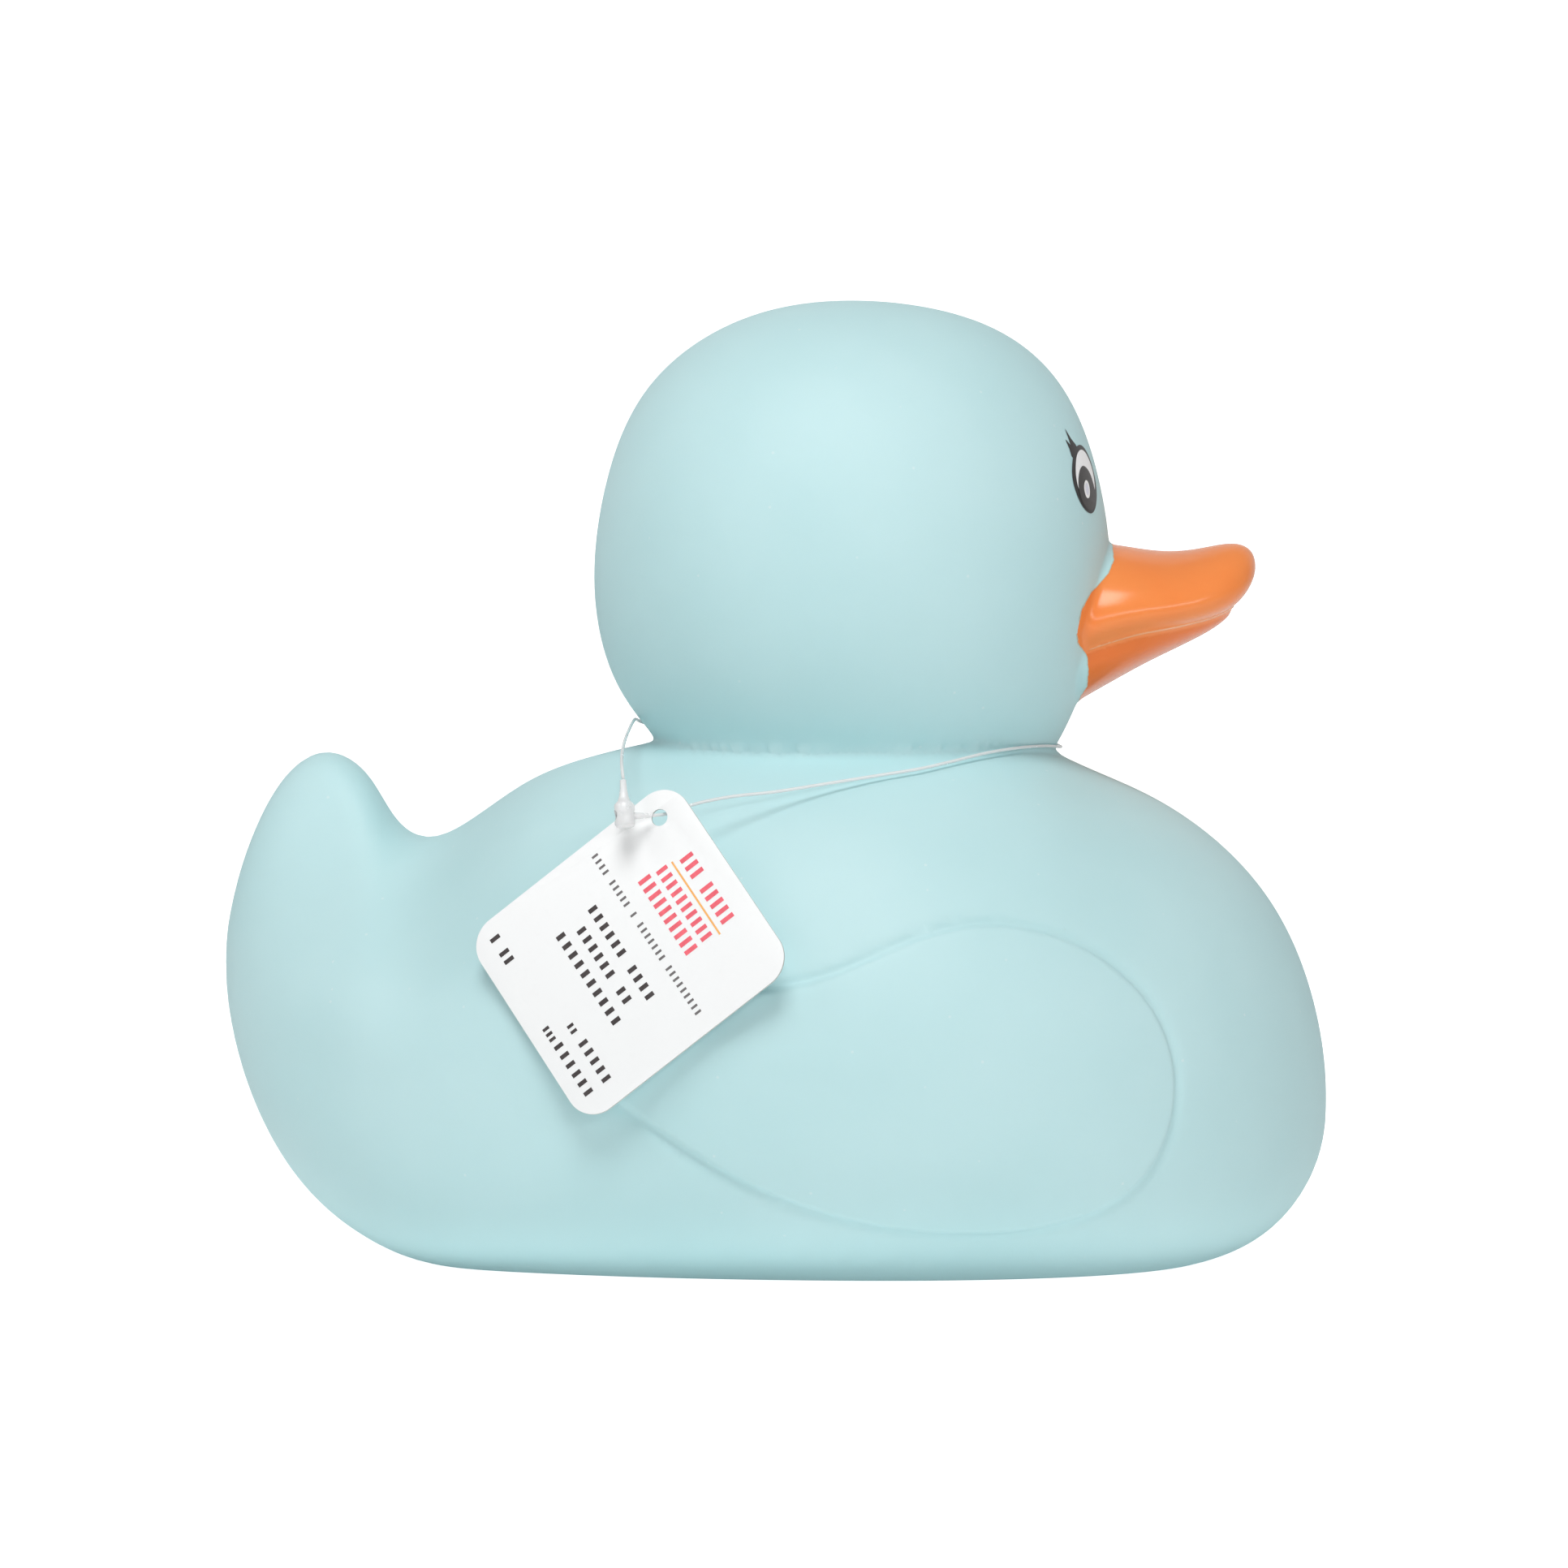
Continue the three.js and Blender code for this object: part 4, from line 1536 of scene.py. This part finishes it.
class NylonLoop:
    """The filament and its two-part lock."""

    def __init__(self, sizes: LoopSizes = LoopSizes()) -> None:
        """Place the lock's parts.

        Args:
            sizes: Route and sizes.
        """
        self.sizes = s = sizes
        self.line = Vector(s.socket_line).normalized()
        self.centre = Vector(s.socket_top) + self.line * (s.socket_length - s.barrel / 2)
        self.pin_line = (Vector(s.pin_end) - self.centre).normalized()

    def route(self) -> list[Vector]:
        """Sample the filament's centre line.

        Returns:
            Its points, in millimetres.
        """
        p = [Vector(point) for point in self.sizes.route]
        p = [p[0] * 2 - p[1], *p, p[-1] * 2 - p[-2]]
        samples = []
        for a, b, c, d in zip(p, p[1:], p[2:], p[3:]):
            t1 = max((b - a).length ** 0.5, 1e-4)
            t2 = t1 + (c - b).length ** 0.5
            t3 = t2 + (d - c).length ** 0.5
            for step in range(8):
                t = t1 + (t2 - t1) * step / 8
                ab = a.lerp(b, t / t1)
                bc = b.lerp(c, (t - t1) / (t2 - t1))
                cd = c.lerp(d, (t - t2) / (t3 - t2))
                samples.append(ab.lerp(bc, t / t2).lerp(bc.lerp(cd, (t - t1) / (t3 - t1)),
                                                        (t - t1) / (t2 - t1)))
        return [*samples, p[-2]]

    def filament(self, finish: bpy.types.Material) -> bpy.types.Object:
        """Lay the filament.

        Args:
            finish: Its material.

        Returns:
            The curve.
        """
        data = bpy.data.curves.new("nylon_filament", "CURVE")
        data.dimensions = "3D"
        data.bevel_depth = self.sizes.diameter / 2 * MM
        data.bevel_resolution = 3
        data.use_fill_caps = True
        points = self.route()
        spline = data.splines.new("POLY")
        spline.points.add(len(points) - 1)
        for place, point in zip(spline.points, points):
            place.co = (*(point * MM), 1)
        curve = bpy.data.objects.new("nylon_filament", data)
        bpy.context.scene.collection.objects.link(curve)
        data.materials.append(finish)
        return curve

    def _turned(self, name: str, profile: Sequence[Point2], start: Vector,
                line: Vector) -> bpy.types.Object:
        """Turn a profile about a line.

        Args:
            name: The object's name.
            profile: Radius and distance along the line, from end to end.
            start: Where the line starts, in millimetres.
            line: Its direction.

        Returns:
            The closed solid, in place.
        """
        bpy.ops.mesh.primitive_circle_add(vertices=40, radius=profile[0][0] * MM, fill_type="NGON")
        solid = newest(name)
        with editing(solid):
            bpy.ops.transform.translate(value=(0, 0, profile[0][1] * MM))
            for (r0, d0), (r1, d1) in zip(profile, profile[1:]):
                rise = (0, 0, (d1 - d0) * MM)
                bpy.ops.mesh.extrude_region_move(TRANSFORM_OT_translate={"value": rise})
                bpy.ops.transform.resize(value=(r1 / r0, r1 / r0, 1))
            bpy.ops.mesh.select_all(action="SELECT")
            bpy.ops.mesh.normals_make_consistent(inside=False)
        turn = Vector((0, 0, 1)).rotation_difference(line).to_matrix().to_4x4()
        bake_place(solid, Matrix.Translation(start * MM) @ turn)
        return solid

    def socket(self, finish: bpy.types.Material) -> bpy.types.Object:
        """Model the socket.

        Args:
            finish: Its material.

        Returns:
            The taper and barrel with its cross bore.
        """
        s = self.sizes
        r = s.socket_diameter / 2
        taper = s.socket_length - s.barrel
        profile = ((0.55, 0), (0.62, taper * 0.35), (0.85, taper * 0.7), (1.15, taper * 0.88),
                   (r - 0.12, taper), (r, taper + 0.25), (r, s.socket_length - 0.6),
                   (r - 0.2, s.socket_length - 0.2), (r - 0.6, s.socket_length))
        solid = self._turned("lock_socket", profile, Vector(s.socket_top), self.line)
        reach = self.pin_line * s.socket_diameter
        cutter = self._turned("bore", ((s.bore / 2, 0), (s.bore / 2, 2 * s.socket_diameter)),
                              self.centre - reach, self.pin_line)
        cut(solid, cutter)
        coat(only(solid), finish, 40)
        return solid

    def pin(self, finish: bpy.types.Material) -> bpy.types.Object:
        """Model the pin.

        Args:
            finish: Its material.

        Returns:
            The pin.
        """
        s = self.sizes
        r = s.pin_diameter / 2
        end = Vector(s.pin_end)
        head = s.pin_length - (end - self.centre).length
        profile = ((r * 0.4, 0), (r * 0.9, head * 0.7), (r, head),
                   (r, head + s.socket_diameter / 2), (r * 0.8, s.pin_length * 0.75),
        (s.diameter / 2, s.pin_length))
        solid = self._turned("lock_pin", profile, end - self.pin_line * s.pin_length, self.pin_line)
        coat(only(solid), finish, 40)
        return solid


# Studio

@dataclass(frozen=True)
class Lamp:
    """One softbox."""

    name: str
    place: Point3
    aim: Point3
    size: Point2
    power: float
    tint: Colour = (1.0, 1.0, 1.0)


class Studio:
    """Camera, floor and lights."""

    LAMPS = (
        Lamp("key", (-0.15, -0.75, 1.4), (0.0, 0.0, 0.09), (0.7, 0.7), 12.2),
        Lamp("side", (-1.1, -0.3, 1.0), (0.0, 0.0, 0.09), (0.6, 0.6), 2.4),
        Lamp("strip", (0.6, -1.2, 0.5), (0.06, 0.0, 0.12), (1.6, 0.1), 4.0),
    )
    AMBIENT: float = 0.22

    def camera(self) -> None:
        """Set the camera at the photo's place."""
        data = bpy.data.cameras.new("camera")
        data.sensor_width = 36
        data.lens = 130.4
        camera = bpy.data.objects.new("camera", data)
        camera.location = (0.0015, -1.064, 0.1407)
        camera.rotation_euler = (math.radians(90) - math.atan(357 / 7000), 0, 0)
        bpy.context.scene.collection.objects.link(camera)
        bpy.context.scene.camera = camera

    def _floor(self) -> bpy.types.Object:
        """Model the floor that sweeps up behind.

        Returns:
            The floor.
        """
        bpy.ops.mesh.primitive_plane_add(size=1, location=(0, 0, 0))
        floor = newest("studio_floor")
        with editing(floor):
            bpy.ops.transform.resize(value=(6, 4, 1))
        with editing(floor, coordinates(floor)[:, 1] > 0):
            bpy.ops.mesh.extrude_region_move(TRANSFORM_OT_translate={"value": (0, 0, 2.5)})
        modify(floor, "BEVEL", width=0.8, segments=16)
        bpy.ops.object.shade_smooth()
        sheet = NodeSheet("studio_paper")
        tone = sheet.ranged(sheet.noise(3, 3), 0.3, 0.7, 0.88, 0.92)
        sheet.feed("Base Color", sheet.blend(tone, (0.86, 0.87, 0.87), (0.9, 0.9, 0.9)))
        sheet.feed("Roughness", 0.9)
        sheet.feed("Emission Color", (1, 1, 1, 1))
        seen = sheet.nodes.new("ShaderNodeLightPath").outputs["Is Camera Ray"]
        sheet.feed("Emission Strength", sheet.ranged(seen, 0.0, 1.0, 0.2, 0.9))
        floor.data.materials.append(sheet.material)
        return floor

    def _lamp(self, lamp: Lamp) -> None:
        """Hang one softbox.

        Args:
            lamp: The softbox.
        """
        data = bpy.data.lights.new(lamp.name, "AREA")
        data.shape = "RECTANGLE"
        data.size, data.size_y = lamp.size
        data.energy = lamp.power
        data.color = lamp.tint
        light = bpy.data.objects.new(lamp.name, data)
        light.location = lamp.place
        aim = Vector(lamp.aim) - Vector(lamp.place)
        light.rotation_euler = aim.to_track_quat("-Z", "Y").to_euler()
        bpy.context.scene.collection.objects.link(light)

    def build(self) -> None:
        """Set the floor, the lights and the surroundings."""
        self._floor()
        for lamp in self.LAMPS:
            self._lamp(lamp)
        world = bpy.data.worlds.new("studio")
        world.use_nodes = True
        background = world.node_tree.nodes["Background"]
        background.inputs["Color"].default_value = (1, 1, 1, 1)
        background.inputs["Strength"].default_value = self.AMBIENT
        bpy.context.scene.world = world
        bpy.context.scene.view_settings.view_transform = "Standard"
        bpy.context.scene.view_settings.look = "None"


def main() -> None:
    """Build the duck, its tag and its loop, and the studio round them."""
    logging.basicConfig(level=logging.INFO, format="%(message)s")
    bpy.ops.object.select_all(action="DESELECT")
    studio = Studio()
    studio.camera()

    loop = NylonLoop()
    nylon = NylonFinish().build()
    filament = loop.filament(nylon)
    socket = loop.socket(nylon)
    pin = loop.pin(nylon)

    tag = HangTag(coordinates(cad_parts["hang_tag"]))
    card, rows = tag.build()

    duck = DuckSkin()
    skin = duck.build(VinylFinish().build(), coordinates(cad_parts["duck_body"]))
    eyes = Eyes(duck.head, duck.sizes.head_x).build()

    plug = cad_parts["squeaker"]
    plug.data.materials.clear()
    plug.data.materials.append(PlugFinish().build())

    for piece, slot in ([(skin, "aqua_vinyl"), (filament, "clear_nylon"), (socket, "clear_nylon"),
                         (pin, "clear_nylon"), (card, "tag_card")]
                        + [(row, "tag_card") for row in rows]
                        + [(eye, "aqua_vinyl") for eye in eyes]):
        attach(piece, "root")
        LOG.info("piece %s", piece.name)
    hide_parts("duck_body")
    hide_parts("tag_loop")
    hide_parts("loop_socket")
    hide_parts("loop_pin")
    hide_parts("hang_tag")

    studio.build()
    LOG.info("skin triangles %d", sum(len(f.vertices) - 2 for f in skin.data.polygons))


if __name__ == "__main__":
    main()
